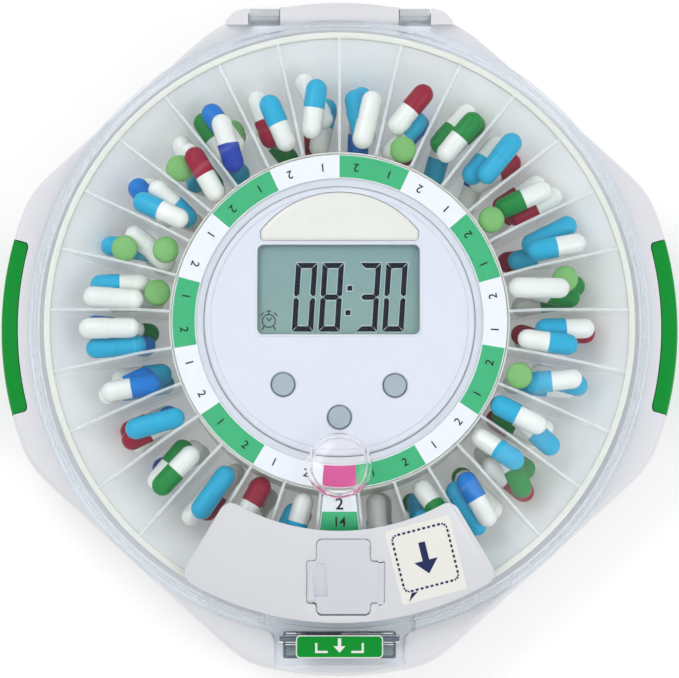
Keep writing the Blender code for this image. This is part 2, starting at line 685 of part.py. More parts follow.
def make_well_housing():
    run = (WELL_RADIUS - WELL_FLOOR_RADIUS) / (RIM_HEIGHT - WELL_FLOOR_TOP)
    under_shift = CASE_WALL * math.sqrt(1 + run ** 2)
    plate_low = RIM_HEIGHT - RIM_PLATE
    housing_low = PARTING_HEIGHT + GAP
    rings = [
        case_ring(RIM_HEIGHT, RIM_DRAFT),
        case_ring(housing_low),
        case_ring(housing_low, CASE_WALL, side=GRIP_BACK_RADIUS),
        case_ring(plate_low, CASE_WALL, side=GRIP_BACK_RADIUS),
        round_ring(WELL_FLOOR_RADIUS + run * (plate_low - WELL_FLOOR_TOP) + under_shift, plate_low),
        round_ring(WELL_FLOOR_RADIUS - run * WELL_FLOOR_THICK + under_shift, WELL_FLOOR_LOW),
        round_ring(TURRET_INNER, WELL_FLOOR_LOW),
        round_ring(TURRET_INNER, TURRET_TOP),
        round_ring(TURRET_RADIUS, TURRET_TOP),
        round_ring(TURRET_RADIUS, WELL_FLOOR_TOP),
        round_ring(WELL_FLOOR_RADIUS, WELL_FLOOR_TOP),
        round_ring(WELL_RADIUS, RIM_HEIGHT),
    ]
    housing = add_piece("well_housing", loft(rings, looped=True), "white_shell", ROOT)
    for place in screw_places():
        boss_low = place + Vector((0, 0, SCREW_JOINT_HEIGHT))
        boss_top = place + Vector((0, 0, WELL_FLOOR_LOW + WELL_FLOOR_THICK / 2))
        hole_top = place + Vector((0, 0, SCREW_TOP + GAP))
        join(housing, rod(boss_low, boss_top, SCREW_BOSS_RADIUS))
        cut(housing, rod(boss_low - Vector((0, 0, CUT_OVERRUN)), hole_top, SCREW_SHANK_RADIUS + GAP))
    half = ARM_INNER - GAP
    base = RIM_HEIGHT - RIM_PLATE / 2
    join(housing, block((-half, HINGE_OUT - HINGE_BARREL_RADIUS, base), (half, HINGE_OUT, HINGE_HEIGHT)),
         rod((-half, HINGE_OUT, HINGE_HEIGHT), (half, HINGE_OUT, HINGE_HEIGHT), HINGE_BARREL_RADIUS))
    for side in (-1, 1):
        join(housing, plate([shoulder_outline(side)], base, HINGE_HEIGHT + HINGE_BARREL_RADIUS))
        cut(housing, rod((side * half, HINGE_OUT, HINGE_HEIGHT),
                         (side * (ARM_OUTER + GAP), HINGE_OUT, HINGE_HEIGHT), HINGE_BARREL_RADIUS + GAP),
            rod((side * (ARM_INNER - PIN_BITE - GAP), HINGE_OUT, HINGE_HEIGHT),
                (side * (ARM_OUTER + PIN_BITE + GAP), HINGE_OUT, HINGE_HEIGHT), HINGE_PIN_RADIUS + GAP))
    cut(housing, block((LATCH_LEG_LEFT_X - GAP, -LATCH_SLOT_OUTER, plate_low - CUT_OVERRUN),
                       (LATCH_LEG_RIGHT_X + GAP, -LATCH_SLOT_INNER, RIM_HEIGHT + CUT_OVERRUN)))
    slot_half = gear_tip(DRIVE_TEETH, RING_MODULE) + DRIVE_SLOT_SIDE
    cut(housing, block((-slot_half, DRIVE_OUT, GEAR_LOW - DRIVE_SLOT_SIDE),
                       (slot_half, TURRET_RADIUS + CUT_OVERRUN, GEAR_LOW + GEAR_FACE + DRIVE_SLOT_SIDE)))
    for turn in (0.0, 180.0):
        cut(housing, grip_recess(turn))


def make_grip(name, turn):
    rings = belly_rings(0.0, 0.0, BELLY_CURVE_SHARES)
    rings.append(case_ring(PARTING_HEIGHT))
    rings.append(case_ring(RIM_HEIGHT, RIM_DRAFT))
    wedge = sector(GRIP_INNER_RADIUS, SIDE_REACH + CUT_OVERRUN, turn - GRIP_HALF_ANGLE, turn + GRIP_HALF_ANGLE,
                   GRIP_LOW, RIM_HEIGHT - GAP)
    grip = add_piece(name, wedge, "grip_green", ROOT)
    keep_inside(grip, loft(rings, looped=False))


def make_feet():
    number = 0
    for x in (-FOOT_PLACE, FOOT_PLACE):
        for y in (-FOOT_PLACE, FOOT_PLACE):
            number += 1
            top = FOOT_HEIGHT + FOOT_RECESS - GAP
            add_piece(f"foot_{number}", rod((x, y, 0), (x, y, top), FOOT_RADIUS), "rubber_dark", ROOT)


def make_screws():
    head_top = FOOT_HEIGHT + CASE_WALL
    profile = [(0, SCREW_TOP), (SCREW_SHANK_RADIUS, SCREW_TOP), (SCREW_SHANK_RADIUS, head_top),
               (SCREW_HEAD_RADIUS, head_top), (SCREW_HEAD_RADIUS, head_top - SCREW_HEAD_THICK),
               (0, head_top - SCREW_HEAD_THICK)]
    for number, place in enumerate(screw_places(), start=1):
        mesh = turned(profile, ROD_STEPS, closed=False, place=place)
        add_piece(f"case_screw_{number}", mesh, "steel", ROOT)


# Turret face

def button_hole_radius():
    return BUTTON_RADIUS + GAP


def display_outline(margin):
    rows = rectangle(DISPLAY_X, DISPLAY_Y, DISPLAY_WIDTH + 2 * margin, DISPLAY_DEPTH + 2 * margin)
    return rounded(rows, DISPLAY_CORNER + margin)


# The lamp window is a flat-bottomed arch with rounded lower ends.
def lamp_outline(margin):
    radius = LAMP_WINDOW_ARC_RADIUS + margin
    half = LAMP_WINDOW_HALF_WIDTH + margin
    low = LAMP_WINDOW_LOW_Y - margin
    end = math.acos(half / radius)
    arc = []
    for i in range(LAMP_WINDOW_ARC_STEPS + 1):
        angle = end + (math.pi - 2 * end) * i / LAMP_WINDOW_ARC_STEPS
        arc.append((radius * math.cos(angle), LAMP_WINDOW_ARC_Y + radius * math.sin(angle)))
    corners = [(-half, low), (half, low)] + arc
    lower = min(BUTTON_RADIUS / 2, (arc[0][1] - low) / 2) + margin
    return rounded(corners, [lower, lower] + [0] * len(arc))


def make_control_panel():
    outlines = [circle(TURRET_RADIUS, TURRET_STEPS), display_outline(GAP), lamp_outline(GAP)]
    for _, x, y in BUTTON_PLACES:
        outlines.append(circle(button_hole_radius(), ROD_STEPS, x, y))
    add_piece("control_panel", plate(outlines, PANEL_TOP - PANEL_THICK, PANEL_TOP), "white_shell", ROOT)


def make_windows():
    low = PANEL_TOP - GAP - WINDOW_THICK
    add_piece("display_window", plate([display_outline(0.0)], low, PANEL_TOP - GAP), "clear", ROOT)
    add_piece("lamp_window", plate([lamp_outline(0.0)], low, PANEL_TOP), "ivory", ROOT)


def make_display_module():
    low = BOARD_TOP + GAP
    add_piece("display_module", plate([display_outline(PANEL_EDGE)], low, low + DISPLAY_THICK),
              "display_grey", ROOT)


def make_buttons():
    flange_radius = BUTTON_RADIUS + BUTTON_FLANGE
    top = PANEL_TOP + BUTTON_PROUD
    edge = BUTTON_PROUD / 2
    profile = [(0, top), (BUTTON_RADIUS - edge, top), (BUTTON_RADIUS, top - edge), (BUTTON_RADIUS, FLANGE_TOP),
               (flange_radius, FLANGE_TOP), (flange_radius, FLANGE_TOP - BUTTON_FLANGE_THICK),
               (0, FLANGE_TOP - BUTTON_FLANGE_THICK)]
    for name, x, y in BUTTON_PLACES:
        pivot = make_pivot(f"{name}_axis", (x, y, FLANGE_TOP), ROOT)
        add_piece(name, turned(profile, ROD_STEPS, closed=False, place=(x, y, 0)), "button_grey", pivot)


def make_button_pad():
    left, right, centre = [(x, y) for _, x, y in BUTTON_PLACES]
    corners = [(left[0] - PAD_MARGIN, left[1] + PAD_MARGIN), (left[0] - PAD_MARGIN, left[1] - PAD_MARGIN),
               (centre[0] - PAD_MARGIN, centre[1] - PAD_MARGIN), (centre[0] + PAD_MARGIN, centre[1] - PAD_MARGIN),
               (right[0] + PAD_MARGIN, right[1] - PAD_MARGIN), (right[0] + PAD_MARGIN, right[1] + PAD_MARGIN)]
    top = FLANGE_TOP - BUTTON_FLANGE_THICK - BUTTON_TRAVEL - GAP
    add_piece("button_pad", plate([rounded(corners, BUTTON_RADIUS / 2)], BOARD_TOP + GAP, top),
              "rubber_dark", ROOT)


def make_control_board():
    outline = circle(TURRET_INNER - GAP, TURRET_STEPS)
    add_piece("control_board", plate([outline], BOARD_TOP - BOARD_THICK, BOARD_TOP), "board_green", ROOT)


def make_alarm_lamp():
    low = BOARD_TOP + GAP
    top = TURRET_TOP
    crown = LAMP_RADIUS / 2
    profile = [(0, top), (LAMP_RADIUS * math.sin(math.pi / 4), top - crown * (1 - math.cos(math.pi / 4))),
               (LAMP_RADIUS, top - crown), (LAMP_RADIUS, low), (0, low)]
    add_piece("alarm_lamp", turned(profile, ROD_STEPS, closed=False, place=(0, LAMP_Y, 0)), "lamp_red", ROOT)


def make_sounder():
    top = BOARD_TOP - BOARD_THICK - GAP
    low = top - SOUNDER_HEIGHT
    mesh = rod((SOUNDER_X, SOUNDER_Y, low), (SOUNDER_X, SOUNDER_Y, top), SOUNDER_RADIUS)
    add_piece("sounder", mesh, "rubber_dark", ROOT)


# Tray

def cone_height(radius):
    inner = (TRAY_FLOOR_RADIUS, TRAY_FLOOR_TOP)
    outer = (TRAY_RIM_RADIUS - TRAY_RIM_WIDTH, TRAY_RIM_TOP - TRAY_RIM_LIP)
    return inner[1] + (radius - inner[0]) * (outer[1] - inner[1]) / (outer[0] - inner[0])


def divider_height(radius):
    far = TRAY_RIM_RADIUS - TRAY_RIM_WIDTH
    drop = DIVIDER_TOP - (TRAY_RIM_TOP - GAP)
    return DIVIDER_TOP - drop * (radius - DIVIDER_SHOULDER_RADIUS) / (far - DIVIDER_SHOULDER_RADIUS)


# All dividers as one operand: upright plates from the inner wall to the rim.
def divider_plates():
    sink = DIVIDER_FOOT_SINK
    near = TRAY_INNER_WALL_RADIUS - sink
    far = TRAY_RIM_RADIUS - TRAY_RIM_WIDTH + sink
    profile = [(near, TRAY_FLOOR_TOP - sink), (TRAY_FLOOR_RADIUS + sink, TRAY_FLOOR_TOP - sink),
               (far, cone_height(far) - sink), (far, divider_height(far)),
               (DIVIDER_SHOULDER_RADIUS, DIVIDER_TOP), (near, DIVIDER_TOP)]
    single = plate([profile], -DIVIDER_THICK / 2, DIVIDER_THICK / 2)
    single.transform(Matrix.Rotation(math.pi / 2, 4, 'X'))
    bm = bmesh.new()
    for i in range(COMPARTMENTS):
        copy = single.copy()
        copy.transform(Matrix.Rotation(math.radians(-90 + (i + 0.5) * COMPARTMENT_ANGLE), 4, 'Z'))
        bm.from_mesh(copy)
    return to_mesh(bm, "dividers")


def make_tray():
    run = (TRAY_RIM_RADIUS - TRAY_RIM_WIDTH - TRAY_FLOOR_RADIUS) / (TRAY_RIM_TOP - TRAY_RIM_LIP - TRAY_FLOOR_TOP)
    under_radius = TRAY_FLOOR_RADIUS + TRAY_WALL * (math.sqrt(1 + run ** 2) - run)
    inner_low = TRAY_INNER_WALL_RADIUS - TRAY_INNER_WALL
    ledge_low = LEDGE_TOP - LEDGE_THICK
    runner_low = WELL_FLOOR_TOP + GAP
    profile = [
        (TRAY_RIM_RADIUS, TRAY_RIM_TOP),
        (TRAY_RIM_RADIUS, TRAY_RIM_TOP - TRAY_RIM_LIP),
        (under_radius, TRAY_BOTTOM),
        (RUNNER_RADIUS + RUNNER_WIDTH / 2, TRAY_BOTTOM),
        (RUNNER_RADIUS + RUNNER_WIDTH / 2, runner_low),
        (RUNNER_RADIUS - RUNNER_WIDTH / 2, runner_low),
        (RUNNER_RADIUS - RUNNER_WIDTH / 2, TRAY_BOTTOM),
        (inner_low, TRAY_BOTTOM),
        (inner_low, ledge_low),
        (SKIRT_RADIUS, ledge_low),
        (SKIRT_RADIUS, SKIRT_BOTTOM),
        (SKIRT_RADIUS - SKIRT_WALL - SKIRT_LIP, SKIRT_BOTTOM),
        (SKIRT_RADIUS - SKIRT_WALL - SKIRT_LIP, SKIRT_BOTTOM + SKIRT_LIP_THICK),
        (SKIRT_RADIUS - SKIRT_WALL, SKIRT_BOTTOM + SKIRT_LIP_THICK),
        (SKIRT_RADIUS - SKIRT_WALL, ledge_low),
        (TURRET_RADIUS + RUNNING_GAP, ledge_low),
        (TURRET_RADIUS + RUNNING_GAP, LEDGE_TOP),
        (TRAY_INNER_WALL_RADIUS, LEDGE_TOP),
        (TRAY_INNER_WALL_RADIUS, TRAY_FLOOR_TOP),
        (TRAY_FLOOR_RADIUS, TRAY_FLOOR_TOP),
        (TRAY_RIM_RADIUS - TRAY_RIM_WIDTH, TRAY_RIM_TOP - TRAY_RIM_LIP),
        (TRAY_RIM_RADIUS - TRAY_RIM_WIDTH, TRAY_RIM_TOP),
    ]
    tray = add_piece("tray", turned(profile, 2 * COMPARTMENTS), "tray_cream", TRAY_PIVOT)
    join(tray, divider_plates())


def make_dosage_ring():
    outlines = [circle(DOSAGE_RING_OUTER, 2 * COMPARTMENTS), circle(DOSAGE_RING_INNER, 2 * COMPARTMENTS)]
    low = LEDGE_TOP + GAP
    add_piece("dosage_ring", plate(outlines, low, low + DOSAGE_RING_THICK), "ring_print", TRAY_PIVOT)


# The closed home place: a wedge that follows the divider tops.
def make_home_cover():
    inner = TRAY_INNER_WALL_RADIUS + GAP
    outer = TRAY_RIM_RADIUS - TRAY_RIM_WIDTH - 2 * DIVIDER_FOOT_SINK
    rings = []
    for radius in (inner, DIVIDER_SHOULDER_RADIUS, outer):
        half = radius * math.tan(math.radians(COMPARTMENT_ANGLE / 2)) - DIVIDER_THICK / 2 - GAP
        top = min(DIVIDER_TOP, divider_height(radius)) - HOME_COVER_DROP
        low = top - HOME_COVER_THICK
        rings.append([(-half, -radius, low), (half, -radius, low), (half, -radius, top), (-half, -radius, top)])
    add_piece("home_cover", loft(rings, looped=False), "ring_print", TRAY_PIVOT)


# Gears

def gear_tip(teeth, module):
    return module * (teeth / 2 + ADDENDUM_SHARE)


def involute(angle):
    return math.tan(angle) - angle


# Half the angle that a tooth of an outside gear fills at a radius.
def half_tooth(radius, teeth, module):
    pressure = math.radians(PRESSURE_ANGLE)
    base = module * teeth / 2 * math.cos(pressure)
    at_radius = math.acos(min(1.0, base / radius))
    return TOOTH_THICK_SHARE * math.pi / teeth + involute(pressure) - involute(at_radius)


# An outside gear's outline; a coarse tooth has a point at its pitch line on each flank.
def outside_gear(teeth, module, phase, x, y, coarse=True):
    pitch = module * teeth / 2
    tip = gear_tip(teeth, module)
    root = pitch - DEDENDUM_SHARE * module
    flank = (root, pitch, tip) if coarse else (root, tip)
    outline = []
    for tooth in range(teeth):
        centre = math.radians(phase) + 2 * math.pi * tooth / teeth
        for radius, side in [(r, -1) for r in flank] + [(r, 1) for r in reversed(flank)]:
            angle = centre + side * half_tooth(radius, teeth, module)
            outline.append((x + radius * math.cos(angle), y + radius * math.sin(angle)))
    return outline


# A ring gear's gaps are the teeth of an outside gear, made wider by the backlash.
def inside_gear(teeth, module, phase):
    pitch = module * teeth / 2
    tip = pitch - ADDENDUM_SHARE * module
    root = pitch + DEDENDUM_SHARE * module
    pitch_gap = (1 - 2 * TOOTH_THICK_SHARE) * math.pi / teeth
    outline = []
    for tooth in range(teeth):
        centre = math.radians(phase) + 2 * math.pi * tooth / teeth
        for radius, side in ((root, -1), (tip, -1), (tip, 1), (root, 1)):
            gap = half_tooth(radius, teeth, module) + pitch_gap
            angle = centre + side * (math.pi / teeth - gap)
            outline.append((radius * math.cos(angle), radius * math.sin(angle)))
    return outline


def make_ring_gear():
    outlines = [circle(SKIRT_RADIUS - SKIRT_WALL - GAP, 2 * COMPARTMENTS),
                inside_gear(RING_TEETH, RING_MODULE, 90.0 + 180.0 / RING_TEETH)]
    add_piece("ring_gear", plate(outlines, GEAR_LOW, GEAR_LOW + GEAR_FACE), "gear_white", TRAY_PIVOT)


def make_drive_gear():
    outlines = [outside_gear(DRIVE_TEETH, RING_MODULE, 90.0, 0.0, DRIVE_OUT),
                circle(AXLE_RADIUS + GAP, ROD_STEPS, 0.0, DRIVE_OUT)]
    add_piece("drive_gear", plate(outlines, GEAR_LOW, GEAR_LOW + GEAR_FACE), "gear_white", DRIVE_PIVOT)


# A large fine-toothed wheel under a small coarse one, on one hub.
def make_reduction_gear():
    to_pinion = math.degrees(math.atan2(PINION_Y - REDUCTION_OUT, PINION_SIDE_X))
    large = outside_gear(LARGE_TEETH, FINE_MODULE, to_pinion + 180.0 / LARGE_TEETH, 0.0, REDUCTION_OUT,
                         coarse=False)
    small = outside_gear(SMALL_TEETH, RING_MODULE, 90.0, 0.0, REDUCTION_OUT)
    seam = LARGE_GEAR_LOW + LARGE_GEAR_FACE / 2
    gear = add_piece("reduction_gear", plate([large], LARGE_GEAR_LOW, LARGE_GEAR_LOW + LARGE_GEAR_FACE),
                     "gear_white", REDUCTION_PIVOT)
    join(gear, plate([small], seam, GEAR_LOW + GEAR_FACE))
    cut(gear, rod((0, REDUCTION_OUT, LARGE_GEAR_LOW - CUT_OVERRUN),
                  (0, REDUCTION_OUT, GEAR_LOW + GEAR_FACE + CUT_OVERRUN),
                  AXLE_RADIUS + GAP))


def make_motor_pinion():
    to_wheel = math.degrees(math.atan2(REDUCTION_OUT - PINION_Y, -PINION_SIDE_X))
    outline = outside_gear(PINION_TEETH, FINE_MODULE, to_wheel, PINION_SIDE_X, PINION_Y, coarse=False)
    low = LARGE_GEAR_LOW - GAP
    top = LARGE_GEAR_LOW + LARGE_GEAR_FACE + GAP
    pinion = add_piece("motor_pinion", plate([outline], low, top), "steel", PINION_PIVOT)
    join(pinion, rod((PINION_SIDE_X, PINION_Y, top - LARGE_GEAR_FACE), (PINION_SIDE_X, PINION_Y, CHASSIS_TOP),
                     SHAFT_RADIUS))


# The drive axle ends above the large wheel, which turns under it.
def make_axles():
    above_wheel = LARGE_GEAR_LOW + LARGE_GEAR_FACE + GAP
    for name, out, low in (("drive_axle", DRIVE_OUT, above_wheel), ("reduction_axle", REDUCTION_OUT, AXLE_LOW)):
        add_piece(name, rod((0, out, low), (0, out, CHASSIS_TOP), AXLE_RADIUS), "steel", ROOT)


def make_gear_chassis():
    outlines = [circle(TURRET_INNER - GAP, TURRET_STEPS),
                circle(AXLE_RADIUS + GAP, ROD_STEPS, 0.0, DRIVE_OUT),
                circle(AXLE_RADIUS + GAP, ROD_STEPS, 0.0, REDUCTION_OUT),
                circle(SHAFT_RADIUS + GAP, ROD_STEPS, PINION_SIDE_X, PINION_Y)]
    for side in (-1, 1):
        rows = rectangle(side * MOTOR_RADIUS, -MOTOR_RADIUS, MOTOR_RADIUS, MOTOR_RADIUS)
        outlines.append(rounded(rows, MOTOR_CAP_HEIGHT))
    add_piece("gear_chassis", plate(outlines, CHASSIS_LOW, CHASSIS_TOP), "gear_white", ROOT)


def make_motor():
    low = CHASSIS_TOP + GAP
    top = low + MOTOR_HEIGHT
    shoulder = top - MOTOR_CAP_HEIGHT
    profile = [(0, top), (MOTOR_CAP_RADIUS, top), (MOTOR_CAP_RADIUS, shoulder), (MOTOR_RADIUS, shoulder),
               (MOTOR_RADIUS, low), (0, low)]
    mesh = turned(profile, ROD_STEPS, closed=False, place=(PINION_SIDE_X, PINION_Y, 0))
    add_piece("motor", mesh, "steel", ROOT)


# Cells and their door

def make_cells():
    end = CELL_LENGTH / 2
    profile = [(0, end + CELL_NUB_LENGTH), (CELL_NUB_RADIUS, end + CELL_NUB_LENGTH), (CELL_NUB_RADIUS, end),
               (CELL_RADIUS, end), (CELL_RADIUS, -end), (0, -end)]
    for i in range(CELLS):
        mesh = turned(profile, ROD_STEPS, closed=False)
        quarter = math.pi / 2 if i % 2 else -math.pi / 2
        mesh.transform(Matrix.Rotation(quarter, 4, 'X'))
        mesh.transform(Matrix.Translation(((i - (CELLS - 1) / 2) * CELL_PITCH, 0, CELL_AXIS_HEIGHT)))
        add_piece(f"battery_cell_{i + 1}", mesh, "cell_jacket", ROOT)


# A sprung strip along a bay wall, bowed out to each cell whose flat end it meets.
def contact_mesh(cells, end):
    wall = BAY_HALF_DEPTH - GAP
    thick = CONTACT_THICK
    centres = [(i - (CELLS - 1) / 2) * CELL_PITCH for i in cells]
    line = [(centres[0] - CONTACT_WIDTH / 2, 0.0)]
    for i, centre in zip(cells, centres):
        flat_end = (i % 2 == 0) == (end < 0)
        bow = CONTACT_SPREAD if flat_end else 0.0
        quarter = CONTACT_WIDTH / 4
        line += [(centre - quarter, 0.0), (centre, bow), (centre + quarter, 0.0)]
    line.append((centres[-1] + CONTACT_WIDTH / 2, 0.0))
    outer = [(x, end * (wall - bow)) for x, bow in line]
    inner = [(x, end * (wall - bow - thick)) for x, bow in line]
    half = CONTACT_WIDTH / 2
    return plate([outer + inner[::-1]], CELL_AXIS_HEIGHT - half, CELL_AXIS_HEIGHT + half)


def make_contacts():
    strips = (("contact_first", (0,), -1), ("contact_middle", (1, 2), -1), ("contact_last", (3,), -1),
              ("contact_joining_left", (0, 1), 1), ("contact_joining_right", (2, 3), 1))
    for name, cells, end in strips:
        add_piece(name, contact_mesh(cells, end), "steel", ROOT)


def make_battery_door():
    hinge_y = -(BAY_HALF_DEPTH + DOOR_LEDGE - GAP)
    pivot = make_pivot("battery_door_hinge", (0, hinge_y, FOOT_HEIGHT), ROOT)
    door = add_piece("battery_door", plate([bay_outline(DOOR_LEDGE - GAP)], FOOT_HEIGHT, DOOR_TOP),
                     "white_shell", pivot)
    cut(door, rod((0, -hinge_y, FOOT_HEIGHT - CUT_OVERRUN), (0, -hinge_y, FOOT_HEIGHT + DOOR_NOTCH_DEPTH),
                  DOOR_NOTCH_RADIUS))


# Lid

# A line on the lid's slope at side x, offset square to the slope.
def slope_point(x, y, offset):
    radius = math.hypot(x, y)
    return Vector((x, y, slope_height(radius) + offset / math.cos(math.radians(SLOPE_ANGLE))))


# A ring of the sloped lid's form, between two offsets from its outer face.
def slope_ring(low, high):
    rise = 1 / math.cos(math.radians(SLOPE_ANGLE))
    inner = CREASE_RADIUS - LID_THICK
    outer = SKIRT_OUTER_RADIUS
    profile = [(inner, slope_height(inner) + high * rise), (outer, slope_height(outer) + high * rise),
               (outer, slope_height(outer) + low * rise), (inner, slope_height(inner) + low * rise)]
    return turned(profile, BODY_STEPS)


# The gate plate seen from above, drawn in by a margin.
def gate_outline(margin, corner, steps=8):
    inner = GATE_INNER_RADIUS + margin
    outer = GATE_OUTER_RADIUS - margin
    points = []
    for radius, way in ((inner, 1), (outer, -1)):
        half = GATE_HALF_ANGLE - math.degrees(margin / radius)
        for i in range(steps + 1):
            points.append(tuple(polar(radius, -90 + way * half * (2 * i / steps - 1)).to_2d()))
    radii = [corner if i in (0, steps, steps + 1, 2 * steps + 1) else 0 for i in range(len(points))]
    return rounded(points, radii)


# The flap is a T: a panel over one compartment, with a finger ear and a hinge ear.
# Its outer edges and both ends of its hinge ear are relieved: they stand upright, but its axis
# slopes, so they swing along it as the flap opens.
def flap_outline(margin, relief=0.0):
    left = -FLAP_LEFT_X - margin
    right = FLAP_RIGHT_X + margin
    ear = FLAP_AXIS_X + FLAP_KNUCKLE_RADIUS + margin
    finger = -FLAP_FINGER_X - margin
    inner_ear = -FLAP_EAR_INNER_Y + margin
    outer_ear = -FLAP_EAR_OUTER_Y - margin + relief
    outer = -FLAP_OUTER_Y - margin + relief
    corners = [(left, -FLAP_INNER_Y + margin), (left, inner_ear), (finger, inner_ear), (finger, outer_ear),
               (left, outer_ear), (left, outer), (right, outer), (right, outer_ear), (ear, outer_ear),
               (ear, inner_ear - relief), (right, inner_ear - relief),
               (right, -FLAP_INNER_Y + margin)]
    return rounded(corners, FLAP_CORNER / 2, steps=2)


def flap_axis_point(y):
    return slope_point(FLAP_AXIS_X, -y, GAP + GATE_THICK / 2)


FLAP_PIVOT = make_pivot("flap_axis", tuple(flap_axis_point(FLAP_EAR_INNER_Y)), LID_PIVOT)


def flap_rod(start, end, radius, steps=ROD_STEPS):
    first = flap_axis_point(FLAP_EAR_INNER_Y)
    last = flap_axis_point(FLAP_EAR_OUTER_Y)
    ear = FLAP_EAR_OUTER_Y - FLAP_EAR_INNER_Y
    ends = [first + (last - first) * (out - FLAP_EAR_INNER_Y) / ear for out in (start, end)]
    return rod(ends[0], ends[1], radius, steps=steps)


def make_lid_shell():
    lean = math.radians(SLOPE_ANGLE)
    inner_skirt = SKIRT_OUTER_RADIUS - LID_THICK
    flange_top = LID_BOTTOM + FLANGE_THICK
    profile = [
        (0, LID_TOP),
        (CREASE_RADIUS, LID_TOP),
        (LID_SHOULDER_RADIUS, LID_SHOULDER_HEIGHT),
        (SKIRT_OUTER_RADIUS, LID_SKIRT_TOP),
        (SKIRT_OUTER_RADIUS, flange_top),
        (FLANGE_RADIUS, flange_top),
        (FLANGE_RADIUS, LID_BOTTOM),
        (inner_skirt, LID_BOTTOM),
        (inner_skirt, slope_height(inner_skirt) - LID_THICK / math.cos(lean)),
        (CREASE_RADIUS - LID_THICK * math.tan(lean / 2), LID_TOP - LID_THICK),
        (0, LID_TOP - LID_THICK),
    ]
    lid = add_piece("lid_shell", turned(profile, BODY_STEPS, closed=False), "clear", LID_PIVOT)
    barrel = HINGE_BARREL_RADIUS
    cut(lid, block((-ARM_INNER, ARM_ROOT, LID_BOTTOM - CUT_OVERRUN),
                   (ARM_INNER, HINGE_OUT + barrel, HINGE_HEIGHT + barrel + 2 * GAP)))
    for side in (-1, 1):
        web = sorted((side * ARM_INNER, side * ARM_OUTER))
        join(lid, block((web[0], ARM_ROOT, LID_BOTTOM), (web[1], HINGE_OUT, HINGE_HEIGHT + barrel)),
             rod((side * ARM_INNER, HINGE_OUT, HINGE_HEIGHT), (side * ARM_OUTER, HINGE_OUT, HINGE_HEIGHT), barrel))
        cut(lid, rod((side * (ARM_INNER - CUT_OVERRUN), HINGE_OUT, HINGE_HEIGHT),
                     (side * (ARM_OUTER + CUT_OVERRUN), HINGE_OUT, HINGE_HEIGHT), HINGE_PIN_RADIUS + GAP))
    void_half = TONGUE_HALF_WIDTH - TONGUE_WALL
    join(lid, block((-TONGUE_HALF_WIDTH, -TONGUE_REACH, LID_BOTTOM), (TONGUE_HALF_WIDTH, -TONGUE_ROOT, TONGUE_TOP)))
    cut(lid, block((-void_half, -TONGUE_REACH + TONGUE_LIP, LID_BOTTOM - CUT_OVERRUN),
                   (void_half, -TONGUE_VOID_INNER, LID_TOP)),
        latch_rod(-latch_pin_half() - GAP, latch_pin_half() + GAP, LATCH_PIN_RADIUS + GAP),
        plate([gate_outline(LID_WINDOW_MARGIN, GATE_CORNER)], LID_BOTTOM, LID_TOP + CUT_OVERRUN),
        rod((0, -LENS_OUT, LID_TOP - LID_THICK - CUT_OVERRUN), (0, -LENS_OUT, LID_TOP + CUT_OVERRUN),
            LENS_RADIUS - LENS_PLUG_INSET + GAP, steps=LENS_STEPS))


def make_gate_plate():
    gate = add_piece("gate_plate", slope_ring(GAP, GAP + GATE_THICK), "white_shell", LID_PIVOT)
    keep_inside(gate, plate([gate_outline(0.0, GATE_CORNER)], LID_BOTTOM, LID_TOP + CUT_OVERRUN))
    cut(gate, plate([flap_outline(FLAP_CLEARANCE)], LID_BOTTOM, LID_TOP + CUT_OVERRUN))
    boss = 2 * FLAP_KNUCKLE_RADIUS
    inner_end = FLAP_EAR_INNER_Y - FLAP_CLEARANCE
    outer_end = FLAP_EAR_OUTER_Y + FLAP_CLEARANCE
    join(gate, flap_rod(inner_end - boss, inner_end, FLAP_KNUCKLE_RADIUS),
         flap_rod(outer_end, outer_end + boss / 2, FLAP_KNUCKLE_RADIUS))
    cut(gate, flap_rod(inner_end - boss / 2 - GAP, outer_end + boss, FLAP_PIN_RADIUS + GAP))


def make_flap():
    flap = add_piece("dispensing_flap", slope_ring(GAP, GAP + GATE_THICK), "white_shell", FLAP_PIVOT)
    keep_inside(flap, plate([flap_outline(0.0, FLAP_RELIEF)], LID_BOTTOM, LID_TOP + CUT_OVERRUN))
    knuckle = FLAP_CLEARANCE - GAP
    join(flap, flap_rod(FLAP_EAR_INNER_Y + knuckle, FLAP_EAR_OUTER_Y - knuckle, FLAP_KNUCKLE_RADIUS))
    finger = -FLAP_FINGER_X + FLAP_RIB_WIDTH
    join(flap, rod(slope_point(finger, -FLAP_EAR_INNER_Y - FLAP_CORNER, GATE_THICK),
                   slope_point(finger, -FLAP_EAR_OUTER_Y + FLAP_RELIEF + FLAP_CORNER, GATE_THICK), FLAP_RIB_WIDTH))
    cut(flap, flap_rod(FLAP_EAR_INNER_Y - CUT_OVERRUN, FLAP_EAR_OUTER_Y + CUT_OVERRUN, FLAP_PIN_RADIUS + GAP))


def make_flap_pin():
    inner_end = FLAP_EAR_INNER_Y - FLAP_CLEARANCE
    outer_end = FLAP_EAR_OUTER_Y + FLAP_CLEARANCE
    pin = flap_rod(inner_end - FLAP_KNUCKLE_RADIUS, outer_end + FLAP_KNUCKLE_RADIUS, FLAP_PIN_RADIUS)
    add_piece("flap_pin", pin, "steel", LID_PIVOT)


def make_magnifier_lens():
    rim = LID_TOP + GAP
    crown = 3
    profile = []
    for i in range(crown + 1):
        turn = math.pi / 2 * i / crown
        profile.append((LENS_RADIUS * math.sin(turn), rim + LENS_RISE * math.cos(turn)))
    plug = LENS_RADIUS - LENS_PLUG_INSET
    profile += [(plug, rim), (plug, LID_TOP - LID_THICK + GAP), (0, LID_TOP - LID_THICK + GAP)]
    mesh = turned(profile, LENS_STEPS, closed=False, place=(0, -LENS_OUT, 0))
    add_piece("magnifier_lens", mesh, "clear", LID_PIVOT)


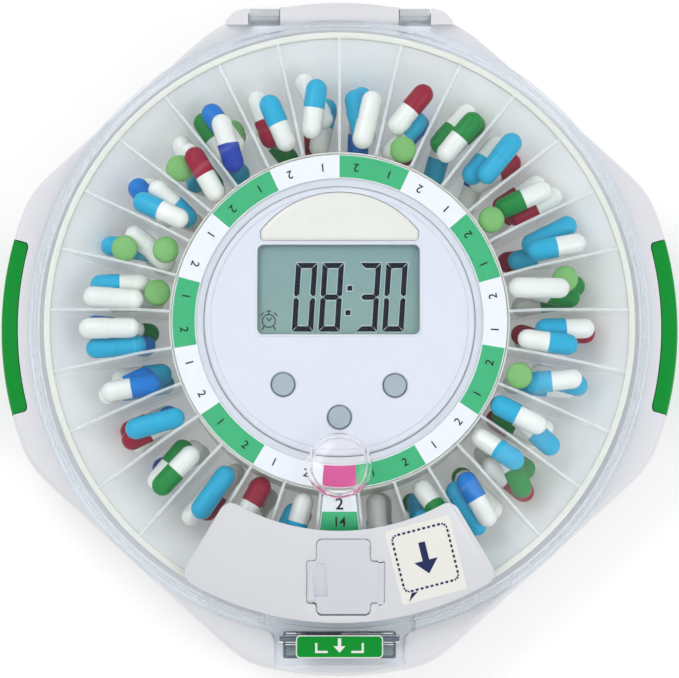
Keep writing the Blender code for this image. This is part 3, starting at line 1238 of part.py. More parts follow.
def make_hinge_pins():
    for name, side in (("hinge_pin_left", -1), ("hinge_pin_right", 1)):
        pin = rod((side * (ARM_INNER - PIN_BITE), HINGE_OUT, HINGE_HEIGHT),
                  (side * (ARM_OUTER + PIN_BITE), HINGE_OUT, HINGE_HEIGHT), HINGE_PIN_RADIUS)
        add_piece(name, pin, "steel", ROOT)


# Latch

def latch_rod(start, end, radius):
    return rod((start, -LATCH_AXIS_OUT, LATCH_AXIS_HEIGHT), (end, -LATCH_AXIS_OUT, LATCH_AXIS_HEIGHT), radius)


def latch_pin_half():
    return TONGUE_HALF_WIDTH - TONGUE_WALL / 2


def make_latch_button():
    half = TONGUE_HALF_WIDTH - TONGUE_WALL - GAP
    inner = -TONGUE_VOID_INNER - GAP
    outer = -TONGUE_REACH + TONGUE_LIP + LATCH_PRESS_GAP
    rows = [(-half, outer), (half, outer), (half, inner), (-half, inner)]
    button = add_piece("latch_button", plate([rounded(rows, LATCH_CORNER)], LATCH_PLATE_LOW, LATCH_PLATE_TOP),
                       "clear", LATCH_PIVOT)
    spring_left = SPRING_START_X - 2 * SPRING_WIRE
    spring_right = SPRING_END_X + 2 * SPRING_WIRE
    reach = SPRING_RADIUS + 2 * SPRING_WIRE
    join(button, latch_rod(-half, spring_left, LATCH_KNUCKLE_RADIUS),
         latch_rod(spring_right, half, LATCH_KNUCKLE_RADIUS),
         block((LATCH_LEG_LEFT_X, -LATCH_LEG_OUTER, LATCH_LEG_LOW),
               (LATCH_LEG_RIGHT_X, -LATCH_LEG_INNER, LATCH_PLATE_LOW + GAP)),
         block((LATCH_LEG_LEFT_X, -LATCH_NOSE_OUT, LATCH_LEG_LOW),
               (LATCH_LEG_RIGHT_X, -LATCH_LEG_INNER - GAP, LATCH_LEG_LOW + LATCH_NOSE_THICK)))
    cut(button, block((spring_left, -LATCH_AXIS_OUT - reach, LATCH_PLATE_LOW - CUT_OVERRUN),
                      (spring_right, -TONGUE_VOID_INNER, LATCH_PLATE_TOP + CUT_OVERRUN)),
        latch_rod(-half - CUT_OVERRUN, half + CUT_OVERRUN, LATCH_PIN_RADIUS + GAP))


def make_latch_label():
    rows = [(-LATCH_LABEL_HALF_WIDTH, -LATCH_LABEL_OUTER), (LATCH_LABEL_HALF_WIDTH, -LATCH_LABEL_OUTER),
            (LATCH_LABEL_HALF_WIDTH, -LATCH_LABEL_INNER), (-LATCH_LABEL_HALF_WIDTH, -LATCH_LABEL_INNER)]
    low = LATCH_AXIS_HEIGHT + LATCH_KNUCKLE_RADIUS + GAP
    add_piece("latch_label", plate([rounded(rows, LATCH_CORNER)], low, low + LATCH_LABEL_THICK),
              "label_green", LATCH_PIVOT)


def make_latch_pin():
    add_piece("latch_pin", latch_rod(-latch_pin_half(), latch_pin_half(), LATCH_PIN_RADIUS), "steel", LID_PIVOT)


# The least gap between the coil's turns, measured on points over half a turn apart.
def coil_gap(points):
    apart = SPRING_POINTS_A_TURN // 2 + 1
    nearest = min((first - second).length for i, first in enumerate(points) for second in points[i + apart:])
    return nearest - 2 * SPRING_WIRE


# A torsion spring coiled about the latch pin.
def make_latch_spring():
    curve = bpy.data.curves.new("latch_spring", 'CURVE')
    curve.dimensions = '3D'
    curve.bevel_depth = SPRING_WIRE
    curve.bevel_resolution = 1
    curve.use_fill_caps = True
    steps = SPRING_TURNS * SPRING_POINTS_A_TURN
    points = []
    for i in range(steps + 1):
        angle = 2 * math.pi * i / SPRING_POINTS_A_TURN
        x = SPRING_START_X + (SPRING_END_X - SPRING_START_X) * i / steps
        points.append(Vector((x, -LATCH_AXIS_OUT + SPRING_RADIUS * math.cos(angle),
                              LATCH_AXIS_HEIGHT + SPRING_RADIUS * math.sin(angle))))
    spline = curve.splines.new('POLY')
    spline.points.add(steps)
    for place, point in zip(points, spline.points):
        point.co = (*place, 1)
    print(f"least gap in the latch spring: {coil_gap(points):.5f} m")
    obj = bpy.data.objects.new("latch_spring_curve", curve)
    bpy.context.scene.collection.objects.link(obj)
    bpy.context.view_layer.update()
    add_piece("latch_spring", baked_mesh(obj), "spring_steel", LID_PIVOT)


make_bottom_cover()
make_well_housing()
make_grip("grip_left", 180.0)
make_grip("grip_right", 0.0)
make_feet()
make_screws()
make_control_panel()
make_windows()
make_display_module()
make_buttons()
make_button_pad()
make_control_board()
make_alarm_lamp()
make_sounder()
make_gear_chassis()
make_axles()
make_motor()
make_cells()
make_contacts()
make_hinge_pins()
make_tray()
make_ring_gear()
make_dosage_ring()
make_home_cover()
make_lid_shell()
make_gate_plate()
make_flap()
make_flap_pin()
make_magnifier_lens()
make_latch_button()
make_latch_label()
make_latch_pin()
make_latch_spring()
make_drive_gear()
make_reduction_gear()
make_motor_pinion()
make_battery_door()
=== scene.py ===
# The looks of the electronic pill box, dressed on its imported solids.
#
# Lengths are in metres and angles in degrees. Shapes are drawn about the tray's axis,
# with +Z up and the latch towards -Y, and then set on that axis in the frame.

import random
from math import acos, atan2, cos, degrees, hypot, pi, radians, sin, sqrt, tan

import bmesh
import bpy
from mathutils import Matrix, Vector


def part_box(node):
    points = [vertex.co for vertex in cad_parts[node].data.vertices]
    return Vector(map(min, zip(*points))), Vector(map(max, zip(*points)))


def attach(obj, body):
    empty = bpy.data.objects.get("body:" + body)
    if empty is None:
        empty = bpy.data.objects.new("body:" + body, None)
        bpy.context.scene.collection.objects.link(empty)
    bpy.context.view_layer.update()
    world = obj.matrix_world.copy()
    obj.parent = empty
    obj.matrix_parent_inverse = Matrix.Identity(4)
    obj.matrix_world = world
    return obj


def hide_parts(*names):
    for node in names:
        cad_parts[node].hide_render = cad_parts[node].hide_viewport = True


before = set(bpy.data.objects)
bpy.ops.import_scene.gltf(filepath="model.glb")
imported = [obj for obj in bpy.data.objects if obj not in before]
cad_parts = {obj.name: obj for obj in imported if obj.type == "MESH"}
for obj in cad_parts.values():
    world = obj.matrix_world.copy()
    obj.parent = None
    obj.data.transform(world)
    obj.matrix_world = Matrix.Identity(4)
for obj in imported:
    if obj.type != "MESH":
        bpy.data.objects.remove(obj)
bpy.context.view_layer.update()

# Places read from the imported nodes
RING_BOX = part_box("dosage_ring")
PANEL_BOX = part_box("control_panel")
LENS_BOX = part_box("magnifier_lens")
LABEL_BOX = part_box("latch_label")
LATCH_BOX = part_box("latch_button")
LAMP_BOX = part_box("lamp_window")
WINDOW_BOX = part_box("display_window")
MODULE_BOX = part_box("display_module")
AXIS_Y = (RING_BOX[0].y + RING_BOX[1].y) / 2

# Smoothness
TURN_STEPS = 232
CASE_STEPS = 240
SMALL_STEPS = 40
ARC_STEPS = 5
FLARE_STEPS = 8
DOME_STEPS = 12
SOFT_ANGLE = 40.0
WELD = 0.00001
OVERRUN = 0.002
GAP = 0.0003
HAIR = 0.00012
EDGE_SHARE = 0.3

# Case
SIDE_REACH = 0.110
FRONT_REACH = 0.1125
BACK_REACH = 0.107
FLAT_DISTANCE = 0.1009
FLAT_ANGLE = 47.8
OUTLINE_BLEND_POWER = 90.0
CASE_WALL = 0.0024
FOOT_HEIGHT = 0.002
WAIST_HEIGHT = 0.020
PARTING_HEIGHT = 0.027
RIM_HEIGHT = 0.033
RIM_PLATE = 0.0045
RIM_DRAFT = 0.0008
RIM_ROUND = 0.0014
SEAM_ROUND = 0.0004
BELLY_INSET = 0.022
BELLY_POWER = 3.5
BELLY_RINGS = 22
SIDE_SPACING_POWER = 1.4
GRIP_HALF_ANGLE = 15.0
GRIP_INNER_RADIUS = 0.1045
GRIP_LOW = 0.009
GRIP_CORNER = 0.0022
GRIP_RUNS = 30
CAVITY_REACH = GRIP_INNER_RADIUS - GAP
WELL_RADIUS = 0.0966
WELL_FLOOR_RADIUS = 0.077
WELL_FLOOR_TOP = 0.015
WELL_FLOOR_THICK = 0.0025
TURRET_RADIUS = 0.0433
TURRET_WALL = 0.002
GEAR_SLOT_HALF_WIDTH = 0.0058
GEAR_SLOT_INNER = 0.040
GEAR_SLOT_LOW = 0.0226
GEAR_SLOT_TOP = 0.0288
LATCH_RECESS_HALF_WIDTH = 0.0209
LATCH_RECESS_DEPTH = 0.0012
LATCH_RECESS_CORNER = 0.002
LATCH_RECESS_FLARE = 0.0034
LATCH_RECESS_EDGE = 0.0005
# The sheet on the latch recess's floor is painted shade, standing for the deep void under the latch.
LATCH_PAINTED_SHADE_HALF_WIDTH = 0.0181
LATCH_PAINTED_SHADE_REACH = 0.1071
LATCH_PAINTED_SHADE_THICK = 0.0004
LATCH_PAINTED_SHADE_BORDER = 0.0009
LATCH_PAINTED_SHADE_CORNER = 0.0006

# Bottom
FOOT_RADIUS = 0.006
FOOT_PLACE = 0.047
FOOT_PLACES = [(x, y) for x in (-FOOT_PLACE, FOOT_PLACE) for y in (-FOOT_PLACE, FOOT_PLACE)]
FOOT_RECESS = 0.0007
FOOT_ROUND = 0.0006
SCREW_OUT = 0.058
SCREW_HEAD_RADIUS = 0.0027
SCREW_HEAD_THICK = 0.0018
SCREW_HEAD_ROUND = 0.0004
SCREW_SHANK_RADIUS = 0.0012
SCREW_TOP = 0.0115
CROSS_HALF_WIDTH = 0.0003
CROSS_HALF_LENGTH = 0.0016
CROSS_DEPTH = 0.0009
CELL_NUB_RADIUS = 0.0027
CELL_NUB_LENGTH = 0.001
BAY_HALF_WIDTH = 0.030
BAY_HALF_DEPTH = 0.0266
BAY_CORNER = 0.0025
BAY_TOP = 0.0189
BAY_WALL = 0.0015
DOOR_LEDGE = 0.0012
DOOR_THICK = 0.0015
DOOR_GRIP_RADIUS = 0.006
DOOR_GRIP_DEPTH = 0.0008
DOOR_GROOVES = 3
DOOR_GROOVE_OUT = 0.0022
DOOR_GROOVE_PITCH = 0.0016
DOOR_GROOVE_LENGTH = 0.011
DOOR_GROOVE_WIDTH = 0.0007

# Tray
COMPARTMENTS = 29
COMPARTMENT_ANGLE = 360.0 / COMPARTMENTS
TRAY_RIM_RADIUS = 0.0952
TRAY_RIM_TOP = 0.0394
TRAY_RIM_LIP = 0.0014
TRAY_RIM_WIDTH = 0.0022
TRAY_WALL_RADIUS = TRAY_RIM_RADIUS - TRAY_RIM_WIDTH
TRAY_SEAT = TRAY_RIM_TOP - TRAY_RIM_LIP
TRAY_FLOOR_RADIUS = 0.0723
TRAY_BEND = 0.003
TRAY_BEND_TOP = 0.0029
TRAY_EDGE = 0.0005
TRAY_BOTTOM = 0.016
TRAY_FLOOR_TOP = 0.0176
TRAY_INNER_WALL_RADIUS = 0.0545
TRAY_INNER_WALL = 0.0015
LEDGE_TOP = 0.0505
LEDGE_THICK = 0.0015
COLLAR_GAP = 0.0002
DIVIDER_THICK = 0.0010
DIVIDER_SINK = 0.0004
DIVIDER_TOP = 0.054
DIVIDER_SHOULDER_RADIUS = 0.064
DIVIDER_SHOULDER_ROUND = 0.004
DIVIDER_CORNER = 0.001
RING_WIDTH = 0.0077
RING_OUTER = (RING_BOX[1].x - RING_BOX[0].x) / 2
RING_INNER = RING_OUTER - RING_WIDTH
RING_MARGIN = 0.0003
RING_EDGE = 0.0002
RING_DIGIT_SIZE = 0.0037
LETTER_BOLD = 0.012
HOME_FIELD_RADIUS = 0.0611
HOME_NUMBERS = (("home_two", "2", 0.0052, 0.0588), ("home_fourteen", "14", 0.0042, 0.0644))
HOME_STRIP_SINK = 0.0008
HOME_STRIP_THICK = 0.0012
HOME_STRIP_SIDE = 0.0009
HOME_FIELD_END = 0.0006
HOME_FIELD_MARGIN = 0.0002

# Lid
LID_THICK = 0.002
LID_TOP = 0.058
CREASE_RADIUS = 0.066
CREASE_ROUND = 0.006
LID_SHOULDER_RADIUS = 0.0975
LID_SHOULDER_HEIGHT = 0.0417
SLOPE = atan2(LID_TOP - LID_SHOULDER_HEIGHT, LID_SHOULDER_RADIUS - CREASE_RADIUS)
SKIRT_OUTER_RADIUS = 0.0995
LID_SKIRT_TOP = 0.0403
FLANGE_RADIUS = 0.101
FLANGE_THICK = 0.0015
LID_BOTTOM = RIM_HEIGHT + GAP
HINGE_OUT = 0.1012
HINGE_HEIGHT = 0.034
HINGE_AXIS = (HINGE_OUT, HINGE_HEIGHT)
HINGE_BARREL_RADIUS = 0.0028
HINGE_PIN_RADIUS = 0.0012
HINGE_PIN_REACH = 0.0034
ARM_INNER = 0.0196
ARM_OUTER = 0.0294
ARM_ROOT = 0.0946
ARM_PRINT_ROOT = 0.004
ARM_STEPS = 16
SHOULDER_LENGTH = 0.0073
GATE_HALF_ANGLE = 32.0
GATE_INNER_RADIUS = 0.0675
GATE_OUTER_RADIUS = 0.0962
GATE_THICK = 0.0018
GATE_CORNER = 0.004
GATE_EDGE = 0.00015
LID_WINDOW_MARGIN = 0.003
FLAP_AXIS_X = 0.0130
FLAP_INNER_Y = 0.0701
FLAP_EAR_INNER_Y = 0.0768
FLAP_EAR_OUTER_Y = 0.0900
FLAP_OUTER_Y = 0.0937
FLAP_LEFT_X = 0.0073
FLAP_RIGHT_X = 0.0098
FLAP_FINGER_X = 0.0104
FLAP_RELIEF = 0.0003
FLAP_CORNER = 0.0009
FLAP_OUTER_CORNER = 0.0018
FLAP_EDGE = 0.00035
FLAP_KNUCKLE_RADIUS = 0.0013
FLAP_BORE_RADIUS = 0.001
FLAP_SEAM = 0.00018
FLAP_GRIP_RADIUS = 0.0013
FLAP_GRIP_INNER = 0.0008
FLAP_GRIP_OUTER = 0.0005
FLAP_SCOOP_RADIUS = 0.0026
LENS_RADIUS = 0.0105
LENS_OUT = 0.0468
LENS_WALL = 0.0007
LENS_PLUG_INSET = 0.001
TONGUE_HALF_WIDTH = 0.0203
TONGUE_REACH = 0.1095
TONGUE_TOP = 0.0392
TONGUE_WALL = 0.0023
TONGUE_LIP = 0.0014
TONGUE_ROOT = 0.0965
TONGUE_ROOT_SINK = 0.004
TONGUE_VOID_INNER = 0.0986
TONGUE_FLARE = 0.0024
TONGUE_CORNER = 0.0014
LATCH_AXIS_OUT = 0.1010
LATCH_AXIS_HEIGHT = 0.0362
LATCH_AXIS = (-LATCH_AXIS_OUT, LATCH_AXIS_HEIGHT)
LATCH_PIN_RADIUS = 0.001
LATCH_PLATE_LOW = 0.0354
LATCH_PLATE_TOP = 0.0382
LATCH_CORNER = 0.0015
LATCH_KNUCKLE_RADIUS = 0.0021
LATCH_LEG_LEFT_X = 0.0012
LATCH_LEG_RIGHT_X = 0.0092
LATCH_LEG_INNER = 0.1012
LATCH_LEG_OUTER = 0.1028
LATCH_SLOT_INNER = 0.0984
LATCH_SLOT_OUTER = 0.1033
LATCH_NOSE_OUT = 0.1039
LATCH_NOSE_THICK = 0.002
LATCH_PRESS_GAP = 0.0006
LATCH_SPRING_LEFT_X = -0.01216
LATCH_SPRING_RIGHT_X = 0.00026
LATCH_SPRING_REACH = 0.00226

# Latch badge and gate note
LABEL_BORDER = 0.0004
LABEL_REACH = 0.1073
LABEL_EDGE = 0.00008
LABEL_ARROW = (0.0004, 0.0046, 0.0038)
BRACKET_INNER = 0.0038
BRACKET_OUTER = 0.0078
BRACKET_LOW = 0.0020
BRACKET_HIGH = 0.0012
BRACKET_LINE = 0.0007
STICKER_X = 0.0275
STICKER_OUT = 0.0765
STICKER_WIDTH = 0.0213
STICKER_DEPTH = 0.0237
STICKER_TURN = 14.7
STICKER_CORNER = 0.0008
STICKER_ARROW = (0.0008, 0.0100, 0.0076)
BALLOON_SHARES = (0.42, 0.38)
BALLOON_RISE = 0.0008
BALLOON_CORNER = 0.0016
BALLOON_TAIL = ((0.0040, 0.0006), (0.0006, 0.0030), (0.0020, 0.0006))
DASH_PITCH = 0.0016
DASH_SHARES = (0.16, 0.72)
DASH_WIDTH = 0.00066
DOT_SHARE = 0.2
DOT_WIDTH = 0.0005

# Turret face
PANEL_EDGE_ROUND = 0.0011
PANEL_GROOVE_RADIUS = 0.0412
PANEL_GROOVE_WIDTH = 0.0003
FRAME_MARGIN = 0.0011
FRAME_SINK = 0.0005
FRAME_RISE = 0.00025
PANE_EDGE = 0.0003
THIN_EDGE = 0.0002
DISPLAY_CORNER = 0.0016
BUTTON_BODIES = {"button_left": "left_button", "button_right": "right_button", "button_centre": "centre_button"}
BUTTON_RADIUS = 0.0036
BUTTON_HOLE_RIM = 0.0004
BUTTON_FLANGE = 0.0009
BUTTON_FLANGE_THICK = 0.001
BUTTON_ROUND = 0.0005
BUTTON_DISH = ((0.7, 0.00004), (0.4, 0.00012), (0.0, 0.00015))
LAMP_CROWN = 0.0006
LAMP_WINDOW_ARC_Y = 0.0096
LAMP_WINDOW_ARC_RADIUS = 0.0319
LAMP_ARC_STEPS = 48
LAMP_EDGE_STEPS = 6
LAMP_EDGE_SPAN = 0.0016
LAMP_EDGE_DROP = 0.0004
LAMP_LEAST_CORNER = 0.0004
LAMP_SIDE_SHARE = 2.4
SEGMENT_HALO = 0.0003
SEGMENT_SLIT = 0.0002
SEGMENT_THICK = 0.0017
DIGIT_WIDTH = 0.00686
DIGIT_HEIGHT = 0.0221
DIGIT_TOP = 0.0088
DIGIT_LEFT = -0.01414
DIGIT_STEPS = (0.0085, 0.0119, 0.0085, 0.0)
DIGIT_LEAN = 3.7
# The seven segments are numbered from the top: top, upper sides, middle, lower sides, bottom.
DIGIT_SEGMENTS = {"0": (0, 1, 2, 4, 5, 6), "8": (0, 1, 2, 3, 4, 5, 6), "3": (0, 2, 3, 5, 6)}
COLON_PLACES = ((0.00359, 0.00063), (0.00347, -0.00725))
COLON_SIZE = 0.0016
CLOCK_X = -0.0223
CLOCK_Y = -0.0099
CLOCK_RADIUS = 0.0022
CLOCK_LINE = 0.00028
# The hands, feet, bell and side strokes of the clock mark, as shares of its radius.
CLOCK_SHARES = (((0, 0), (-0.35, 0.45)), ((0, 0), (0.5, 0.5)), ((-0.7, -0.8), (-1.0, -1.3)),
                ((0.7, -0.8), (1.0, -1.3)), ((0, 1.0), (0, 1.45)), ((-0.35, 1.45), (0.35, 1.45)),
                ((-1.25, 0.75), (-0.75, 1.25)), ((0.75, 1.25), (1.25, 0.75)))

# Pills
PILL_SEED = 28
PILLS_EACH = 6
PILL_TRIES = 90
PILL_YAW = 0.55
PILL_TILT = 0.45
PILL_NEAR = 0.0575
PILL_FAR = 0.0745
PILL_ASIDE = 0.006
PILL_HEADROOM = (0.001, 0.003)
PILL_ROOM = 0.0002
PILL_REACH = 0.0815
CAPSULE_LENGTH = 0.0194
CAPSULE_RADIUS = 0.00345
CAPSULE_BODY_RADIUS = 0.0033
CAPSULE_CAP_SHARE = 0.49
CAPSULE_LIP = 0.0001
CAPSULE_LIP_PRINT = 0.00008
CAPSULE_STEPS = 20
TABLET_CHANCE = 0.09
TABLET_RADIUS = 0.0042
TABLET_THICK = 0.0042
TABLET_EDGE_SHARE = 0.28
TABLET_ROUND_SHARES = ((0.5, 0.12), (0.85, 0.45), (1.0, 1.0))
TABLET_STEPS = 24
TABLET_LEAN = 0.15
PILL_COLOURS = ("capsule_white", "capsule_cyan", "capsule_blue", "capsule_navy", "capsule_crimson",
                "capsule_green", "tablet_green")
# A capsule's body and cap, as places in the colours above, with how often it comes.
CAPSULE_KINDS = (((0, 1), 8), ((0, 0), 5), ((0, 4), 5), ((0, 2), 4), ((0, 5), 4), ((1, 1), 4), ((0, 3), 1))

# Camera, floor and lamps
CAMERA_RISE = 84.6
CAMERA_DISTANCE = 1.46
CAMERA_TARGET = (0.0, 0.0, 0.02)
CAMERA_LENS = 236.9
FLOOR_SIZE = 6.0
FLOOR_LOW = -0.02
FLOOR_TOP = -0.0002
FLOOR_GLOW = 0.3
WORLD_LIGHT = 0.62
# A lamp's place, its width and depth, and its power.
LAMPS = {"key_lamp": ((-0.9, 0.7, 1.6), (1.4, 0.9), 9.0), "fill_lamp": ((1.1, -0.5, 1.3), (1.2, 0.8), 6.0)}


def paint(*levels):
    """A shader colour from the 0 to 255 values that a screen shows."""
    shares = [level / 255 for level in levels]
    return (*(share / 12.92 if share <= 0.04045 else ((share + 0.055) / 1.055) ** 2.4 for share in shares), 1.0)


# Colours that more than one finish uses
DISPLAY_TEAL = paint(141, 174, 164)
# The display's darker colour towards its upper edge is painted shade.
DISPLAY_PAINTED_SHADE = paint(134, 168, 166)
RING_GREEN = paint(36, 176, 112)
RING_WHITE = paint(240, 240, 245)
HOME_MAGENTA = paint(208, 54, 140)
WHITE = (1, 1, 1, 1)


# Meshes

def polar(radius, angle, height=0.0):
    turn = radians(angle)
    return Vector((radius * cos(turn), radius * sin(turn), height))


# The sine and cosine of evenly spaced turns from 0 to 90 degrees.
def quarter(steps):
    return [(sin(pi / 2 * i / steps), cos(pi / 2 * i / steps)) for i in range(steps + 1)]


def placed(name, data):
    obj = bpy.data.objects.new(name, data)
    bpy.context.scene.collection.objects.link(obj)
    return obj


# The mesh that an object makes once its curve or modifiers are worked out; the objects used up are removed.
def worked_out(obj, helpers=()):
    bpy.context.view_layer.update()
    result = bpy.data.meshes.new_from_object(obj.evaluated_get(bpy.context.evaluated_depsgraph_get()))
    for used in (obj, *helpers):
        data = used.data
        bpy.data.objects.remove(used)
        (bpy.data.meshes if isinstance(data, bpy.types.Mesh) else bpy.data.curves).remove(data)
    return result


def to_mesh(bm):
    bmesh.ops.recalc_face_normals(bm, faces=bm.faces)
    mesh = bpy.data.meshes.new("mesh")
    bm.to_mesh(mesh)
    bm.free()
    return mesh


def welded(mesh, distance, shift):
    bm = bmesh.new()
    bm.from_mesh(mesh)
    bmesh.ops.remove_doubles(bm, verts=bm.verts, dist=distance)
    bmesh.ops.translate(bm, verts=bm.verts, vec=shift)
    bpy.data.meshes.remove(mesh)
    return to_mesh(bm)


def block(low, high):
    bm = bmesh.new()
    bmesh.ops.create_cube(bm, size=1.0)
    low = Vector(low)
    size = Vector(high) - low
    for vertex in bm.verts:
        vertex.co = Vector(low[i] + (vertex.co[i] + 0.5) * size[i] for i in range(3))
    return to_mesh(bm)


def rod(start, end, radius, end_radius=None, steps=SMALL_STEPS):
    start = Vector(start)
    along = Vector(end) - start
    bm = bmesh.new()
    bmesh.ops.create_cone(bm, cap_ends=True, segments=steps, radius1=radius,
                          radius2=radius if end_radius is None else end_radius, depth=along.length)
    turn = Vector((0, 0, 1)).rotation_difference(along).to_matrix().to_4x4()
    bmesh.ops.transform(bm, matrix=Matrix.Translation(start + along / 2) @ turn, verts=bm.verts)
    return to_mesh(bm)


# A rod along X from start to end, on an axis given by its Y and Z.
def axle(axis, start, end, radius):
    return rod((start, *axis), (end, *axis), radius)


# A path whose corners become arcs; radii is one radius, or one for each corner.
def rounded(corners, radii, steps=ARC_STEPS, closed=True):
    path = []
    count = len(corners)
    for i, radius in enumerate([radii] * count if isinstance(radii, float) else radii):
        corner = Vector(corners[i])
        if not radius or (not closed and i in (0, count - 1)):
            path.append(tuple(corner))
            continue
        before = (Vector(corners[i - 1]) - corner).normalized()
        after = (Vector(corners[(i + 1) % count]) - corner).normalized()
        half = before.angle(after) / 2
        reach = radius / tan(half)
        centre = corner + (before + after).normalized() * (radius / sin(half))
        first = corner + before * reach - centre
        last = corner + after * reach - centre
        path += [tuple(centre + first.lerp(last, step / steps).normalized() * radius) for step in range(steps + 1)]
    return path


# A skin through rings of points; a ring of one point closes it like a cone.
def skin(rings, looped=False, capped=True):
    bm = bmesh.new()
    rows = [[bm.verts.new(point) for point in ring] for ring in rings]
    pairs = list(zip(rows, rows[1:]))
    if looped:
        pairs.append((rows[-1], rows[0]))
    for lower, upper in pairs:
        count = max(len(lower), len(upper))
        for i in range(count):
            following = (i + 1) % count
            corners = [lower[i % len(lower)], lower[following % len(lower)],
                       upper[following % len(upper)], upper[i % len(upper)]]
            bm.faces.new(list(dict.fromkeys(corners)))
    if capped and not looped:
        for row in (rows[0], rows[-1]):
            if len(row) > 2:
                bm.faces.new(row)
    return to_mesh(bm)


def round_ring(radius, height, steps=CASE_STEPS, place=(0, 0, 0)):
    if radius < WELD:
        return [Vector((0, 0, height)) + Vector(place)]
    return [polar(radius, 360.0 * i / steps, height) + Vector(place) for i in range(steps)]


# A profile of (radius, height) points turned about an upright axis.
def lathe(profile, steps=TURN_STEPS, closed=True, place=(0, 0, 0)):
    return skin([round_ring(radius, height, steps, place) for radius, height in profile], looped=closed, capped=False)


# A profile of (y, z) points run along X from one end to the other.
def run_across(profile, ends):
    return skin([[Vector((x, y, z)) for y, z in profile] for x in ends])


# A flat plate from a closed outline, with the outlines of its holes.
def plate(outline, low, high, *holes):
    curve = bpy.data.curves.new("outline", 'CURVE')
    curve.dimensions = '2D'
    curve.fill_mode = 'BOTH'
    curve.extrude = (high - low) / 2
    for path in (outline, *holes):
        spline = curve.splines.new('POLY')
        spline.points.add(len(path) - 1)
        for point, (x, y) in zip(spline.points, path):
            point.co = (x, y, 0, 1)
        spline.use_cyclic_u = True
    return welded(worked_out(placed("outline", curve)), WELD, (0, 0, (low + high) / 2))


def lettering(text, size, y=0.0):
    curve = bpy.data.curves.new("lettering", 'FONT')
    curve.body = text
    curve.size = size
    curve.align_x = 'CENTER'
    curve.align_y = 'CENTER'
    curve.extrude = HAIR / 2
    curve.offset = size * LETTER_BOLD
    return welded(worked_out(placed("lettering", curve)), WELD / 2, (0, y, 0))


def circle(radius, x, y):
    turns = [2 * pi * i / SMALL_STEPS for i in range(SMALL_STEPS)]
    return [(x + radius * cos(turn), y + radius * sin(turn)) for turn in turns]


def rectangle(x, y, width, depth):
    return [(x - width / 2, y - depth / 2), (x + width / 2, y - depth / 2),
            (x + width / 2, y + depth / 2), (x - width / 2, y + depth / 2)]


def line_outline(start, end, width):
    start, end = Vector(start), Vector(end)
    side = (end - start).orthogonal().normalized() * width / 2
    return [tuple(point) for point in (start - side, end - side, end + side, start + side)]


def arrow_outline(x, y, height, width):
    stem = width * 0.28
    neck = y - height / 2 + width * 0.55
    return [(x - stem / 2, y + height / 2), (x - stem / 2, neck), (x - width / 2, neck), (x, y - height / 2),
            (x + width / 2, neck), (x + stem / 2, neck), (x + stem / 2, y + height / 2)]


# The mesh after one modifier for each group of settings.
def modified(mesh, kind, groups, helpers=()):
    obj = placed("helper", mesh)
    for settings in groups:
        modifier = obj.modifiers.new("step", kind)
        for key, value in settings.items():
            setattr(modifier, key, value)
    return worked_out(obj, helpers)


def combined(mesh, operation, tools):
    helpers = [placed("tool", tool) for tool in tools]
    groups = [{"object": helper, "operation": operation, "solver": 'EXACT'} for helper in helpers]
    return modified(mesh, 'BOOLEAN', groups, helpers)


def cut(mesh, *tools):
    return combined(mesh, 'DIFFERENCE', tools)


def fused(mesh, *tools):
    return combined(mesh, 'UNION', tools)


def kept_inside(mesh, tool):
    return combined(mesh, 'INTERSECT', (tool,))


def softened(mesh, width, segments=3):
    return modified(mesh, 'BEVEL', [{"width": width, "segments": segments, "limit_method": 'ANGLE',
                                     "angle_limit": radians(SOFT_ANGLE), "use_clamp_overlap": False}])


def merged(meshes):
    bm = bmesh.new()
    for mesh in meshes:
        bm.from_mesh(mesh)
        bpy.data.meshes.remove(mesh)
    mesh = bpy.data.meshes.new("merged")
    bm.to_mesh(mesh)
    bm.free()
    return mesh


def turned(mesh, angle, axis):
    mesh.transform(Matrix.Rotation(angle, 4, axis))
    return mesh


# A finished piece: its mesh set on the tray's axis, its materials, its body and the nodes it stands for.
def dress(name, mesh, materials, body, *nodes, smooth_angle=32.0, on_axis=True):
    mesh.name = name
    if on_axis:
        mesh.transform(Matrix.Translation((0, AXIS_Y, 0)))
    obj = placed(name, mesh)
    for material in [materials] if isinstance(materials, str) else materials:
        mesh.materials.append(FINISHES[material])
    mesh.shade_smooth()
    mesh.set_sharp_from_angle(angle=radians(smooth_angle))
    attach(obj, body)
    if nodes:
        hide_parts(*nodes)


# Shader groups and materials

def node(tree, kind, inputs=None, **settings):
    made = tree.nodes.new(kind)
    for key, value in settings.items():
        setattr(made, key, value)
    for key, value in (inputs or {}).items():
        if isinstance(value, bpy.types.NodeSocket):
            tree.links.new(value, made.inputs[key])
        else:
            made.inputs[key].default_value = value
    return made


def math_of(tree, operation, *values):
    return node(tree, 'ShaderNodeMath', dict(enumerate(values)), operation=operation).outputs[0]


def mixed_colour(tree, share, first, second):
    return node(tree, 'ShaderNodeMix', {0: share, 6: first, 7: second}, data_type='RGBA').outputs[2]


# How far along Y a place lies, in the object's own metres or as a share of its length.
def along_y(tree, space):
    place = node(tree, 'ShaderNodeTexCoord').outputs[space]
    return node(tree, 'ShaderNodeSeparateXYZ', {0: place}).outputs['Y']


